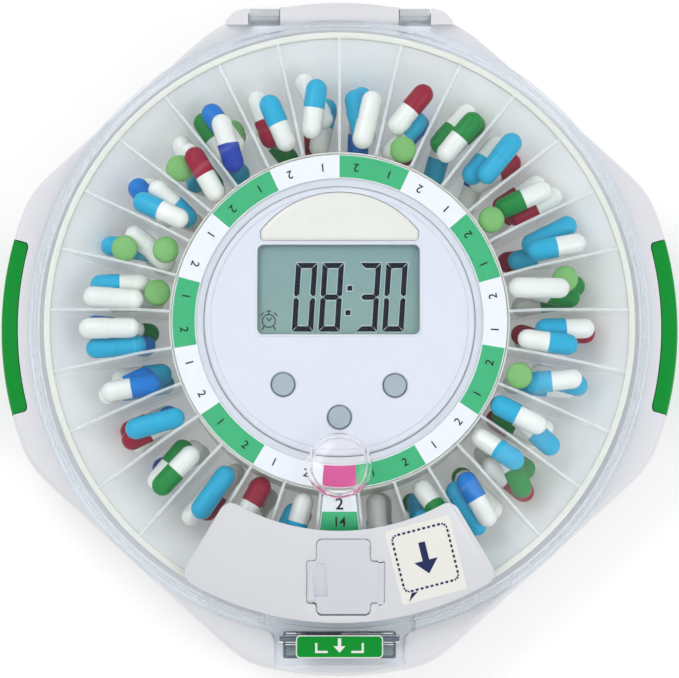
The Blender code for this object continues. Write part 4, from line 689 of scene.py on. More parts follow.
# A moulded surface: its colour and shine wander a little, and it has a fine grain.
def make_moulded_group():
    tree = bpy.data.node_groups.new("moulded_surface", 'ShaderNodeTree')
    for label, kind, value in (("Colour", 'Color', RING_WHITE), ("Wander", 'Float', 0.03), ("Roughness", 'Float', 0.4),
                               ("Shine Wander", 'Float', 0.08), ("Grain", 'Float', 0.05),
                               ("Grain Scale", 'Float', 2500.0)):
        socket = tree.interface.new_socket(label, in_out='INPUT', socket_type='NodeSocket' + kind)
        socket.default_value = value
    for label, kind in (("Colour", 'Color'), ("Roughness", 'Float'), ("Normal", 'Vector')):
        tree.interface.new_socket(label, in_out='OUTPUT', socket_type='NodeSocket' + kind)
    entry, leave = tree.nodes.new('NodeGroupInput').outputs, tree.nodes.new('NodeGroupOutput')
    place = node(tree, 'ShaderNodeTexCoord').outputs['Object']
    broad, smear, fine = (
        node(tree, 'ShaderNodeTexNoise', {'Vector': place, 'Scale': scale, 'Detail': detail}).outputs[0]
        for scale, detail in ((18.0, 2.0), (95.0, 4.0), (entry['Grain Scale'], 2.0)))
    drift, haze = (math_of(tree, 'MULTIPLY', math_of(tree, 'SUBTRACT', noise, 0.5), entry[label])
                   for noise, label in ((broad, 'Wander'), (smear, 'Shine Wander')))
    tint = node(tree, 'ShaderNodeHueSaturation', {'Color': entry['Colour'], 'Value': math_of(tree, 'ADD', 1.0, drift)})
    bump = node(tree, 'ShaderNodeBump', {'Strength': entry['Grain'], 'Distance': 0.00005, 'Height': fine})
    tree.links.new(tint.outputs[0], leave.inputs['Colour'])
    tree.links.new(math_of(tree, 'ADD', entry['Roughness'], haze), leave.inputs['Roughness'])
    tree.links.new(bump.outputs[0], leave.inputs['Normal'])
    return tree


MOULDED = make_moulded_group()


# The finishes made here by name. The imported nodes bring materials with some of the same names.
FINISHES = {}


def shader_of(name, colour):
    material = FINISHES[name] = bpy.data.materials.new(name)
    material.use_nodes = True
    material.diffuse_color = colour
    return material.node_tree, material.node_tree.nodes["Principled BSDF"]


# A material whose moulded surface feeds a Principled shader; returns its tree, surface and shader.
def surfaced(name, colour, roughness, wander=0.03, grain=0.05, grain_scale=2500.0, metallic=0.0, coat=0.0,
             coat_roughness=0.1, specular=0.5, glow=0.0):
    tree, shader = shader_of(name, colour)
    surface = node(tree, 'ShaderNodeGroup', node_tree=MOULDED)
    for label, value in (("Colour", colour), ("Roughness", roughness), ("Wander", wander), ("Grain", grain),
                         ("Grain Scale", grain_scale)):
        surface.inputs[label].default_value = value
    for output, entry in (('Colour', 'Base Color'), ('Roughness', 'Roughness'), ('Normal', 'Normal')):
        tree.links.new(surface.outputs[output], shader.inputs[entry])
    for label, value in (('Metallic', metallic), ('Coat Weight', coat), ('Coat Roughness', coat_roughness),
                         ('Specular IOR Level', specular), ('Emission Color', colour), ('Emission Strength', glow)):
        shader.inputs[label].default_value = value
    return tree, surface, shader


# Lets the lamps' light through a shader to what lies behind it.
def let_light_through(tree, shader, colour):
    passing = node(tree, 'ShaderNodeBsdfTransparent', {'Color': colour})
    path = node(tree, 'ShaderNodeLightPath')
    blend = node(tree, 'ShaderNodeMixShader',
                 {0: path.outputs['Is Shadow Ray'], 1: shader.outputs[0], 2: passing.outputs[0]})
    tree.links.new(blend.outputs[0], tree.nodes["Material Output"].inputs['Surface'])


def clear_plastic(name, tint, roughness, ior):
    tree, shader = shader_of(name, tint)
    for label, value in (('Base Color', tint), ('Roughness', roughness), ('IOR', ior), ('Transmission Weight', 1.0)):
        shader.inputs[label].default_value = value
    let_light_through(tree, shader, tint)


# See-through plastic whose opacity goes from side_share on upright faces to edge_share on upward faces; on the dividers
# the more opaque tops are a painted highlight.
def milky_plastic(name, colour, side_share, edge_share):
    tree, _, shader = surfaced(name, colour, 0.3, coat=0.4)
    normal = node(tree, 'ShaderNodeNewGeometry').outputs['Normal']
    upward = node(tree, 'ShaderNodeSeparateXYZ', {0: normal}).outputs['Z']
    share = node(tree, 'ShaderNodeMapRange',
                 {'Value': math_of(tree, 'ABSOLUTE', upward), 'From Min': 0.3, 'From Max': 0.8,
                  'To Min': side_share, 'To Max': edge_share}).outputs[0]
    tree.links.new(share, shader.inputs['Alpha'])
    let_light_through(tree, shader, colour)


# The dosage ring's print: a home sector, then pairs of green and white sectors, with plain margins.
def sector_print(name):
    tree, surface, _ = surfaced(name, RING_WHITE, 0.42)
    place = node(tree, 'ShaderNodeTexCoord').outputs['Object']
    centred = node(tree, 'ShaderNodeVectorMath', {0: place, 1: (0, AXIS_Y, 0)}, operation='SUBTRACT').outputs[0]
    parts = node(tree, 'ShaderNodeSeparateXYZ', {0: centred})
    x, y = parts.outputs['X'], parts.outputs['Y']
    turn = math_of(tree, 'ARCTAN2', y, x)
    count = math_of(tree, 'MULTIPLY_ADD', turn, COMPARTMENTS / (2 * pi), COMPARTMENTS / 4 + 0.5)
    sector = math_of(tree, 'FLOOR', math_of(tree, 'FLOORED_MODULO', count, float(COMPARTMENTS)))
    pair = math_of(tree, 'FLOOR', math_of(tree, 'DIVIDE', math_of(tree, 'SUBTRACT', sector, 1.0), 2.0))
    even = math_of(tree, 'LESS_THAN', math_of(tree, 'FLOORED_MODULO', pair, 2.0), 0.5)
    home = math_of(tree, 'LESS_THAN', sector, 0.5)
    squares = [math_of(tree, 'MULTIPLY', side, side) for side in (x, y)]
    radius = math_of(tree, 'SQRT', math_of(tree, 'ADD', *squares))
    inside = math_of(tree, 'MULTIPLY', math_of(tree, 'GREATER_THAN', radius, RING_INNER + RING_MARGIN),
                     math_of(tree, 'LESS_THAN', radius, RING_OUTER - RING_MARGIN))
    printed = mixed_colour(tree, home, mixed_colour(tree, even, RING_WHITE, RING_GREEN), HOME_MAGENTA)
    tree.links.new(mixed_colour(tree, inside, RING_WHITE, printed), surface.inputs['Colour'])


# Two colours along Y; share is a function that makes the second colour's share in a tree.
def two_toned(name, first, second, roughness, share, **finish):
    tree, surface, _ = surfaced(name, first, roughness, **finish)
    tree.links.new(mixed_colour(tree, share(tree), first, second), surface.inputs['Colour'])


# The display is a little darker towards its upper edge: painted shade under the frame's upper side.
def display_share(tree):
    return node(tree, 'ShaderNodeMapRange', {'Value': along_y(tree, 'Object'), 'From Min': MODULE_BOX[0].y,
                                             'From Max': MODULE_BOX[1].y}).outputs[0]


CAPSULE_SHINE = {"specular": 0.15, "coat": 0.08}
STEEL = {"metallic": 1.0, "wander": 0.1}
# The plain finishes: a name, a colour, a roughness and what else differs from a plain moulded surface.
# The tray glows a little: painted light that lifts the shade in its compartments.
for name, levels, roughness, finish in (
        ("shell_plastic", (234, 235, 240), 0.34, {"coat": 0.25, "coat_roughness": 0.18}),
        ("panel_plastic", (222, 222, 231), 0.38, {"coat": 0.2, "coat_roughness": 0.2}),
        ("gate_plastic", (228, 230, 235), 0.36, {"coat": 0.25, "coat_roughness": 0.2}),
        ("flap_plastic", (220, 224, 232), 0.30, {"coat": 0.4, "coat_roughness": 0.15}),
        ("tray_plastic", (231, 230, 229), 0.42, {"coat": 0.2, "glow": 0.22}),
        ("rim_plastic", (233, 232, 221), 0.40, {"coat": 0.2}),
        ("collar_plastic", (214, 216, 222), 0.3, {"coat": 0.4}),
        ("pin_plastic", (206, 210, 216), 0.4, {}),
        ("grip_rubber", (0, 148, 50), 0.6, {"grain": 0.25, "grain_scale": 1500.0, "specular": 0.2}),
        ("label_print", (0, 150, 48), 0.45, {"specular": 0.15}),
        # painted shade: the grey of the deep void under the latch
        ("lining_grey", (104, 112, 124), 0.5, {"specular": 0.2}),
        ("white_print", (242, 246, 243), 0.45, {}),
        ("ink_print", (18, 19, 22), 0.6, {"specular": 0.1}),
        ("green_print", (36, 176, 112), 0.42, {}),
        ("ring_white_print", (240, 240, 245), 0.42, {}),
        ("ivory_plastic", (234, 230, 221), 0.26, {"coat": 0.6, "coat_roughness": 0.08}),
        ("segment_ink", (5, 10, 34), 0.6, {"specular": 0.05}),
        ("segment_halo", (205, 222, 218), 0.3, {}),
        ("button_plastic", (166, 177, 187), 0.5, {"grain": 0.2, "grain_scale": 1800.0}),
        ("sticker_paper", (247, 247, 240), 0.55, {}),
        ("sticker_ink", (34, 44, 92), 0.5, {"specular": 0.2}),
        ("board_green", (24, 92, 52), 0.45, {}),
        ("gear_plastic", (226, 226, 220), 0.45, {}),
        ("bare_steel", (190, 192, 196), 0.28, STEEL),
        ("dark_steel", (84, 86, 92), 0.33, STEEL),
        ("foot_rubber", (58, 58, 60), 0.75, {"grain": 0.35, "grain_scale": 900.0}),
        ("lamp_red", (206, 52, 38), 0.2, {"coat": 0.5}),
        ("capsule_white", (238, 238, 232), 0.24, {"coat": 0.5}),
        ("capsule_cyan", (36, 172, 212), 0.2, CAPSULE_SHINE),
        ("capsule_blue", (4, 118, 204), 0.2, CAPSULE_SHINE),
        ("capsule_navy", (24, 58, 164), 0.2, CAPSULE_SHINE),
        ("capsule_crimson", (152, 6, 46), 0.2, CAPSULE_SHINE),
        ("capsule_green", (0, 134, 54), 0.2, CAPSULE_SHINE),
        ("tablet_green", (122, 184, 104), 0.6, {"grain": 0.4, "grain_scale": 1200.0})):
    surfaced(name, paint(*levels), roughness, **finish)

clear_plastic("clear_lid", paint(245, 248, 250), 0.02, 1.25)
clear_plastic("clear_window", paint(252, 252, 253), 0.01, 1.1)
clear_plastic("clear_lens", paint(252, 252, 253), 0.01, 1.4)
# The dividers' tops are more opaque and whiter than their sides: a painted highlight.
milky_plastic("divider_plastic", paint(240, 243, 241), 0.20, 0.55)
milky_plastic("arm_plastic", paint(212, 215, 219), 0.8, 0.8)
sector_print("ring_print")
two_toned("display_glass", DISPLAY_TEAL, DISPLAY_PAINTED_SHADE, 0.30, display_share, wander=0.02, grain=0.02)
# painted shade in the latch's void, darker towards its inner end under the latch
two_toned("lining_field", paint(150, 164, 160), paint(92, 104, 122), 0.5,
          lambda tree: along_y(tree, 'Generated'), specular=0.2)
two_toned("jacket_back", paint(52, 54, 60), paint(196, 142, 74), 0.28,
          lambda tree: math_of(tree, 'GREATER_THAN', along_y(tree, 'Generated'), 0.7), coat=0.5)
two_toned("jacket_front", paint(52, 54, 60), paint(196, 142, 74), 0.28,
          lambda tree: math_of(tree, 'LESS_THAN', along_y(tree, 'Generated'), 0.3), coat=0.5)


# Case

def case_radius(angle, side=SIDE_REACH):
    turn = radians(angle)
    if abs(cos(turn)) > abs(sin(turn)):
        lobe = side
    else:
        lobe = FRONT_REACH if sin(turn) < 0 else BACK_REACH
    fold = atan2(abs(sin(turn)), abs(cos(turn)))
    flat = FLAT_DISTANCE / cos(fold - radians(FLAT_ANGLE))
    power = OUTLINE_BLEND_POWER
    return (lobe ** -power + flat ** -power) ** (-1 / power)


def case_ring(height, inset=0.0, side=SIDE_REACH):
    angles = [360.0 * i / CASE_STEPS for i in range(CASE_STEPS)]
    return [polar(case_radius(angle, side) - inset, angle, height) for angle in angles]


def side_inset(height):
    share = min(1.0, (height - FOOT_HEIGHT) / (WAIST_HEIGHT - FOOT_HEIGHT))
    draft = max(0.0, height - PARTING_HEIGHT) / (RIM_HEIGHT - PARTING_HEIGHT)
    return BELLY_INSET * (1 - share) ** BELLY_POWER + RIM_DRAFT * draft


# Insets and heights up the case's side; the top ends in the rim's fillet.
def side_profile(low, high, count, fillet=0.0):
    heights = [low + (high - fillet - low) * (i / count) ** SIDE_SPACING_POWER for i in range(count + 1)]
    profile = [(side_inset(height), height) for height in heights]
    if fillet:
        start = profile[-1][0]
        profile += [(start + fillet * (1 - c), high - fillet + fillet * s) for s, c in quarter(2 * ARC_STEPS)[1:]]
    return profile


# A grip's wedge, or with a margin the recess for it: cross sections along the arc.
def grip_wedge(turn, margin=0.0):
    spread = GRIP_HALF_ANGLE + degrees(margin / GRIP_INNER_RADIUS)
    length = radians(2 * spread) * GRIP_INNER_RADIUS
    corner = GRIP_CORNER
    ends = [corner * (1 - c) for _, c in quarter(8)]
    runs = ends + [corner + (length - 2 * corner) * i / GRIP_RUNS for i in range(1, GRIP_RUNS)]
    runs += [length - end for end in reversed(ends)]
    rings = []
    for run in runs:
        angle = turn - spread + degrees(run / GRIP_INNER_RADIUS)
        near = max(0.0, corner - min(run, length - run))
        rise = corner - sqrt(corner ** 2 - near ** 2)
        low = GRIP_LOW - margin + rise
        if margin:
            outer = [(SIDE_REACH + OVERRUN, low), (SIDE_REACH + OVERRUN, RIM_HEIGHT + OVERRUN)]
        else:
            side = side_profile(low, RIM_HEIGHT - GAP, 12, RIM_ROUND)
            outer = [(case_radius(angle) - inset, height) for inset, height in side]
        inner = GRIP_INNER_RADIUS - margin + rise * 0.6
        rings.append([polar(radius, angle, height) for radius, height in [(inner, outer[-1][1]), (inner, low)] + outer])
    return skin(rings)


def grip_recesses():
    return [grip_wedge(turn, GAP) for turn in (0.0, 180.0)]


def bay_outline(margin):
    rows = rectangle(0, 0, 2 * (BAY_HALF_WIDTH + margin), 2 * (BAY_HALF_DEPTH + margin))
    return rounded(rows, BAY_CORNER + margin)


def make_lower_shell():
    edge, floor = SEAM_ROUND, FOOT_HEIGHT - OVERRUN
    rings = [case_ring(height, inset)
             for inset, height in side_profile(FOOT_HEIGHT, PARTING_HEIGHT - edge, BELLY_RINGS)]
    rings += [case_ring(PARTING_HEIGHT - EDGE_SHARE * edge, EDGE_SHARE * edge), case_ring(PARTING_HEIGHT, edge),
              case_ring(PARTING_HEIGHT, CASE_WALL, CAVITY_REACH)]
    for inset, height in reversed(side_profile(FOOT_HEIGHT, PARTING_HEIGHT - edge, BELLY_RINGS // 2)[1:]):
        rings.append(case_ring(max(height, FOOT_HEIGHT + CASE_WALL), inset + CASE_WALL, CAVITY_REACH))
    mesh = fused(skin(rings), plate(bay_outline(BAY_WALL), FOOT_HEIGHT + CASE_WALL / 2, BAY_TOP + BAY_WALL))
    tools = [plate(bay_outline(0.0), FOOT_HEIGHT + DOOR_THICK, BAY_TOP),
             plate(bay_outline(DOOR_LEDGE), floor, FOOT_HEIGHT + DOOR_THICK + GAP), *grip_recesses()]
    for i in range(4):
        place = polar(SCREW_OUT, 90.0 * i)
        tools.append(rod(place, place + Vector((0, 0, FOOT_HEIGHT + CASE_WALL + GAP)), SCREW_HEAD_RADIUS + GAP))
    tools += [rod((x, y, floor), (x, y, FOOT_HEIGHT + FOOT_RECESS), FOOT_RADIUS + GAP) for x, y in FOOT_PLACES]
    dress("lower_shell", cut(mesh, *tools), "shell_plastic", "base", "bottom_cover")


# The hump between the lid's arms.
def hinge_hump(half):
    barrel = HINGE_BARREL_RADIUS
    top, back, sink = HINGE_HEIGHT + barrel, BACK_REACH - RIM_DRAFT - RIM_ROUND, RIM_HEIGHT - RIM_PLATE / 2
    profile = [(HINGE_OUT - barrel, sink), (HINGE_OUT - barrel, top), (HINGE_OUT + barrel, top),
               (back, RIM_HEIGHT), (back, sink)]
    return run_across(rounded(profile, [0, 0.7 * barrel, 1.2 * barrel, 0, 0], steps=8), (-half, half))


def shoulder_outline(side):
    near = ARM_OUTER + GAP
    far = near + SHOULDER_LENGTH
    bevel = HINGE_BARREL_RADIUS
    front, back = HINGE_OUT - bevel, HINGE_OUT + bevel
    corners = [(near, front), (far, front), (far, HINGE_OUT - bevel / 2), (far - bevel, back - bevel / 2),
               (near, back)]
    return rounded([(side * x, y) for x, y in corners], [0.0, 0.0008, 0.0008, 0.0012, 0.0006])


# The right flank of the tongue or its recess: from its root out to where its flare ends.
def flared_flank(half, flare, radius):
    meet = -sqrt(radius ** 2 - (half + flare) ** 2)
    return [(half + flare, TONGUE_ROOT_SINK - TONGUE_ROOT)] + [
        (half + flare * (1 - s), meet - flare * (1 - c)) for s, c in quarter(FLARE_STEPS)]


def latch_recess_outline(margin):
    half = LATCH_RECESS_HALF_WIDTH + margin
    corner = LATCH_RECESS_CORNER - margin
    out = sqrt(FRONT_REACH ** 2 - half ** 2)
    wide = LATCH_RECESS_HALF_WIDTH + 2 * LATCH_RECESS_CORNER
    flank = flared_flank(half, LATCH_RECESS_FLARE - margin, FLANGE_RADIUS + GAP)
    ends = [flank[-1], (half, -out), (wide, -out - corner / 4), (wide, -(FRONT_REACH + OVERRUN))]
    right = flank[:-1] + rounded(ends, [0.0, corner, 0.0, 0.0])
    return right + [(-x, y) for x, y in reversed(right)]


# The tool for the recess that the latch sits in; it widens at the top, which rounds the pads beside it.
def latch_recess():
    edge = LATCH_RECESS_EDGE
    steps = [(0.0, RIM_HEIGHT - LATCH_RECESS_DEPTH), (0.0, RIM_HEIGHT - edge),
             (EDGE_SHARE * edge, RIM_HEIGHT - EDGE_SHARE * edge), (edge, RIM_HEIGHT), (edge, RIM_HEIGHT + OVERRUN)]
    return skin([[Vector((x, y, height)) for x, y in latch_recess_outline(margin)] for margin, height in steps])


# The tool for the slot that the latch's leg passes through.
def latch_slot():
    return block((LATCH_LEG_LEFT_X - GAP, -LATCH_SLOT_OUTER, RIM_HEIGHT - RIM_PLATE - OVERRUN),
                 (LATCH_LEG_RIGHT_X + GAP, -LATCH_SLOT_INNER, RIM_HEIGHT + OVERRUN))


def make_upper_shell():
    edge, barrel = SEAM_ROUND, HINGE_BARREL_RADIUS
    run = (WELL_RADIUS - WELL_FLOOR_RADIUS) / (RIM_HEIGHT - WELL_FLOOR_TOP)
    shift = CASE_WALL * sqrt(1 + run ** 2)
    plate_low, seam = RIM_HEIGHT - RIM_PLATE, PARTING_HEIGHT + GAP
    turret_top, floor_low = PANEL_BOX[0].z - GAP, WELL_FLOOR_TOP - WELL_FLOOR_THICK
    rings = [case_ring(seam, edge), case_ring(seam + EDGE_SHARE * edge, EDGE_SHARE * edge)]
    rings += [case_ring(height, inset) for inset, height in side_profile(seam + edge, RIM_HEIGHT, 6, RIM_ROUND)]
    rings += [round_ring(radius, height) for radius, height in (
        (WELL_RADIUS + edge, RIM_HEIGHT), (WELL_RADIUS, RIM_HEIGHT - edge), (WELL_FLOOR_RADIUS, WELL_FLOOR_TOP),
        (TURRET_RADIUS, WELL_FLOOR_TOP), (TURRET_RADIUS, turret_top), (TURRET_RADIUS - TURRET_WALL, turret_top),
        (TURRET_RADIUS - TURRET_WALL, floor_low), (WELL_FLOOR_RADIUS - run * WELL_FLOOR_THICK + shift, floor_low),
        (WELL_FLOOR_RADIUS + run * (plate_low - WELL_FLOOR_TOP) + shift, plate_low))]
    rings += [case_ring(height, CASE_WALL, CAVITY_REACH) for height in (plate_low, seam)]
    mesh = fused(skin(rings, looped=True), hinge_hump(ARM_INNER - GAP))
    for side in (-1, 1):
        mesh = fused(mesh, plate(shoulder_outline(side), RIM_HEIGHT - RIM_PLATE / 2, HINGE_HEIGHT + barrel))
        mesh = cut(mesh, axle(HINGE_AXIS, side * (ARM_INNER - GAP), side * (ARM_OUTER + GAP), barrel + GAP),
                   axle(HINGE_AXIS, side * (ARM_INNER - HINGE_PIN_REACH), side * (ARM_OUTER + HINGE_PIN_REACH),
                        HINGE_PIN_RADIUS + GAP))
    gear_slot = block((-GEAR_SLOT_HALF_WIDTH, GEAR_SLOT_INNER, GEAR_SLOT_LOW),
                      (GEAR_SLOT_HALF_WIDTH, TURRET_RADIUS + OVERRUN, GEAR_SLOT_TOP))
    mesh = cut(mesh, latch_recess(), latch_slot(), gear_slot, *grip_recesses())
    dress("upper_shell", mesh, "shell_plastic", "base", "well_housing")
    # A grey sheet and a field darker towards the inner end, laid on the latch recess's floor: painted shade for the
    # deep void under the latch.
    floor, thick = RIM_HEIGHT - LATCH_RECESS_DEPTH, LATCH_PAINTED_SHADE_THICK
    middle, depth = (TONGUE_VOID_INNER + LATCH_PAINTED_SHADE_REACH) / 2, LATCH_PAINTED_SHADE_REACH - TONGUE_VOID_INNER
    for name, inset, low, material in (("latch_painted_shade", 0.0, floor, "lining_grey"),
                                       ("latch_painted_shade_field", 2 * LATCH_PAINTED_SHADE_BORDER, floor + thick, "lining_field")):
        rows = rectangle(0, -middle, 2 * LATCH_PAINTED_SHADE_HALF_WIDTH - inset, depth - inset)
        pad = plate(rounded(rows, LATCH_PAINTED_SHADE_CORNER), low, low + thick)
        dress(name, cut(pad, latch_slot()), material, "base")


def make_grips():
    for name, turn in (("grip_left", 180.0), ("grip_right", 0.0)):
        dress("fine_" + name, grip_wedge(turn), "grip_rubber", "base", name, smooth_angle=50.0)


def make_feet():
    top, edge, radius = FOOT_HEIGHT + FOOT_RECESS - GAP, FOOT_ROUND, FOOT_RADIUS
    profile = [(0, top), (radius, top), (radius, edge), (radius - EDGE_SHARE * edge, EDGE_SHARE * edge),
               (radius - edge, 0), (0.6 * radius, 0), (0.55 * radius, edge / 2), (0, edge / 2)]
    for number, (x, y) in enumerate(FOOT_PLACES, 1):
        mesh = lathe(profile, SMALL_STEPS, closed=False, place=(x, y, 0))
        dress(f"rubber_foot_{number}", mesh, "foot_rubber", "base", f"foot_{number}")


def make_screws():
    top, edge = FOOT_HEIGHT + CASE_WALL, SCREW_HEAD_ROUND
    head = top - SCREW_HEAD_THICK
    profile = [(0, SCREW_TOP), (SCREW_SHANK_RADIUS, SCREW_TOP), (SCREW_SHANK_RADIUS, top), (SCREW_HEAD_RADIUS, top),
               (SCREW_HEAD_RADIUS, head + edge), (SCREW_HEAD_RADIUS - edge, head + 0.2 * edge), (0, head)]
    for number in range(1, 5):
        place = polar(SCREW_OUT, 90.0 * (number - 1))
        mesh = lathe(profile, SMALL_STEPS, closed=False, place=place)
        for reach in ((CROSS_HALF_WIDTH, CROSS_HALF_LENGTH, 0), (CROSS_HALF_LENGTH, CROSS_HALF_WIDTH, 0)):
            far = place + Vector(reach) + Vector((0, 0, head + CROSS_DEPTH))
            mesh = cut(mesh, block(place - Vector(reach), far))
        dress(f"cross_screw_{number}", mesh, "bare_steel", "base", f"case_screw_{number}")


def make_battery_door():
    hinge, floor = BAY_HALF_DEPTH + DOOR_LEDGE - GAP, FOOT_HEIGHT - OVERRUN
    mesh = softened(plate(bay_outline(DOOR_LEDGE - GAP), FOOT_HEIGHT, FOOT_HEIGHT + DOOR_THICK), 0.0003)
    mesh = cut(mesh, rod((0, hinge, floor), (0, hinge, FOOT_HEIGHT + DOOR_GRIP_DEPTH), DOOR_GRIP_RADIUS))
    grooves = []
    for i in range(DOOR_GROOVES):
        y = hinge - DOOR_GRIP_RADIUS - DOOR_GROOVE_OUT - DOOR_GROOVE_PITCH * i
        outline = rounded(rectangle(0, y, DOOR_GROOVE_LENGTH, DOOR_GROOVE_WIDTH), 0.0003)
        grooves.append(plate(outline, floor, FOOT_HEIGHT + DOOR_GRIP_DEPTH / 2))
    dress("cell_door", cut(mesh, *grooves), "shell_plastic", "battery_hatch", "battery_door")


def make_cells():
    edge = 0.0005
    for number in range(1, 5):
        low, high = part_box(f"battery_cell_{number}")
        radius, nub = (high.x - low.x) / 2, CELL_NUB_RADIUS
        length = high.y - low.y - CELL_NUB_LENGTH
        tip = length + CELL_NUB_LENGTH
        profile = [(0, tip), (nub - edge / 2, tip), (nub, tip - edge / 2), (nub, length - edge / 2),
                   (radius - 2 * edge, length - edge / 2), (radius - edge, length),
                   (radius - EDGE_SHARE * edge, length - EDGE_SHARE * edge), (radius, length - edge), (radius, edge),
                   (radius - EDGE_SHARE * edge, EDGE_SHARE * edge), (radius - edge, 0), (radius - 3 * edge, 0),
                   (radius - 3.5 * edge, edge / 3), (0, edge / 3)]
        front = number % 2 == 0
        mesh = turned(lathe(profile, SMALL_STEPS, closed=False), pi / 2 if front else -pi / 2, 'X')
        place = Vector(((low.x + high.x) / 2, high.y if front else low.y, (low.z + high.z) / 2))
        mesh.transform(Matrix.Translation(place))
        dress(f"cell_{number}", mesh, "jacket_front" if front else "jacket_back", "base",
              f"battery_cell_{number}", on_axis=False)


# Tray

def cone_height(radius):
    share = (radius - TRAY_FLOOR_RADIUS) / (TRAY_WALL_RADIUS - TRAY_FLOOR_RADIUS)
    return TRAY_FLOOR_TOP + (TRAY_SEAT - TRAY_FLOOR_TOP) * share


def divider_height(radius):
    share = (radius - DIVIDER_SHOULDER_RADIUS) / (TRAY_WALL_RADIUS - DIVIDER_SHOULDER_RADIUS)
    return DIVIDER_TOP - (DIVIDER_TOP - TRAY_RIM_TOP + GAP) * share


def make_tray():
    far, seat, edge, wall, floor = TRAY_WALL_RADIUS, TRAY_SEAT, TRAY_EDGE, TRAY_INNER_WALL_RADIUS, TRAY_FLOOR_RADIUS
    bowl = [(wall, TRAY_BOTTOM), (wall, TRAY_FLOOR_TOP), (floor - TRAY_BEND, TRAY_FLOOR_TOP),
            (floor, TRAY_FLOOR_TOP + edge), (floor + TRAY_BEND, cone_height(floor + TRAY_BEND_TOP)), (far, seat),
            (TRAY_RIM_RADIUS, seat), (floor + 2 * edge, TRAY_BOTTOM)]
    dress("tray_bowl", lathe(bowl), "tray_plastic", "tray", "tray")
    rim = [(far, seat), (TRAY_RIM_RADIUS, seat), (TRAY_RIM_RADIUS, TRAY_RIM_TOP), (far, TRAY_RIM_TOP)]
    dress("tray_rim", lathe(rounded(rim, [0.0, 0.0, edge, edge])), "rim_plastic", "tray", "tray")
    ledge_low, collar, split = LEDGE_TOP - LEDGE_THICK, TURRET_RADIUS + COLLAR_GAP, RING_INNER + edge
    core = [(wall, TRAY_BOTTOM), (wall, LEDGE_TOP + edge), (wall - edge, LEDGE_TOP + 2 * edge),
            (wall - edge, LEDGE_TOP), (split, LEDGE_TOP), (collar, LEDGE_TOP), (collar, ledge_low),
            (wall - TRAY_INNER_WALL, ledge_low), (wall - TRAY_INNER_WALL, TRAY_BOTTOM)]
    mesh = lathe(core)
    for face in mesh.polygons:
        face.material_index = int(face.center.z > ledge_low + HAIR and face.center.xy.length < split)
    dress("tray_core", mesh, ("rim_plastic", "collar_plastic"), "tray", "tray")


# All the dividers as one clear moulding: upright plates between the inner wall and the rim.
def make_dividers():
    sink = DIVIDER_SINK
    near, far = TRAY_INNER_WALL_RADIUS - sink, TRAY_WALL_RADIUS + sink
    profile = [(near, TRAY_FLOOR_TOP - sink), (TRAY_FLOOR_RADIUS + sink, TRAY_FLOOR_TOP - sink),
               (far, cone_height(far) - sink), (far, divider_height(far)),
               (DIVIDER_SHOULDER_RADIUS, DIVIDER_TOP), (near, DIVIDER_TOP)]
    profile = rounded(profile, [0.0, 0.0, 0.0, 0.0, DIVIDER_SHOULDER_ROUND, DIVIDER_CORNER])
    single = softened(plate(profile, -DIVIDER_THICK / 2, DIVIDER_THICK / 2), THIN_EDGE, segments=2)
    turned(single, pi / 2, 'X')
    copies = [turned(single.copy(), radians(-90 + (i + 0.5) * COMPARTMENT_ANGLE), 'Z') for i in range(COMPARTMENTS)]
    dress("tray_dividers", merged(copies), "divider_plastic", "tray", "tray")


def make_dosage_ring():
    low, high = RING_BOX[0].z, RING_BOX[1].z
    corners = [(RING_INNER, low), (RING_OUTER, low), (RING_OUTER, high), (RING_INNER, high)]
    profile = rounded(corners, [0.0, 0.0, RING_EDGE, RING_EDGE])
    dress("dosage_print", lathe(profile), "ring_print", "tray", "dosage_ring")
    digits = []
    for i in range(1, COMPARTMENTS):
        angle = -90 + i * COMPARTMENT_ANGLE
        digit = lettering("1" if i % 2 else "2", RING_DIGIT_SIZE)
        place = polar((RING_INNER + RING_OUTER) / 2, angle, high)
        digit.transform(Matrix.Translation(place) @ Matrix.Rotation(radians(angle + 90), 4, 'Z'))
        digits.append(digit)
    dress("ring_digits", merged(digits), "ink_print", "tray", "dosage_ring")


def home_top(radius):
    return min(DIVIDER_TOP, divider_height(radius)) - HOME_STRIP_SINK


# A number laid on the home strip, following its bend.
def home_number(text, size, out):
    bm = bmesh.new()
    bm.from_mesh(lettering(text, size, -out))
    bmesh.ops.bisect_plane(bm, geom=bm.verts[:] + bm.edges[:] + bm.faces[:],
                           plane_co=(0, -DIVIDER_SHOULDER_RADIUS, 0), plane_no=(0, 1, 0))
    for vertex in bm.verts:
        vertex.co.z = home_top(-vertex.co.y) + (1.25 if vertex.co.z > 0 else 0.25) * HAIR
    return to_mesh(bm)


# A part of the home strip: it widens with its sector and follows the divider tops.
def home_part(start, end, lift, thick, margin):
    rings = []
    for radius in (start, DIVIDER_SHOULDER_RADIUS, end):
        half = radius * tan(radians(COMPARTMENT_ANGLE / 2)) - HOME_STRIP_SIDE - margin
        top = home_top(radius) + lift
        rings.append([(-half, -radius, top - thick), (half, -radius, top - thick),
                      (half, -radius, top), (-half, -radius, top)])
    return skin(rings)


# The closed home place: a strip printed in two fields, with its numbers.
def make_home_strip():
    inner, outer = TRAY_INNER_WALL_RADIUS + GAP, TRAY_WALL_RADIUS - HOME_STRIP_THICK
    dress("home_strip", home_part(inner, outer, 0.0, HOME_STRIP_THICK, 0.0), "ring_white_print", "tray", "home_cover")
    field = home_part(HOME_FIELD_RADIUS, outer - HOME_FIELD_END, HAIR / 2, HAIR / 2, HOME_FIELD_MARGIN)
    dress("home_field", field, "green_print", "tray", "home_cover")
    for name, text, size, out in HOME_NUMBERS:
        dress(name, home_number(text, size, out), "ink_print", "tray", "home_cover")


# Turret face

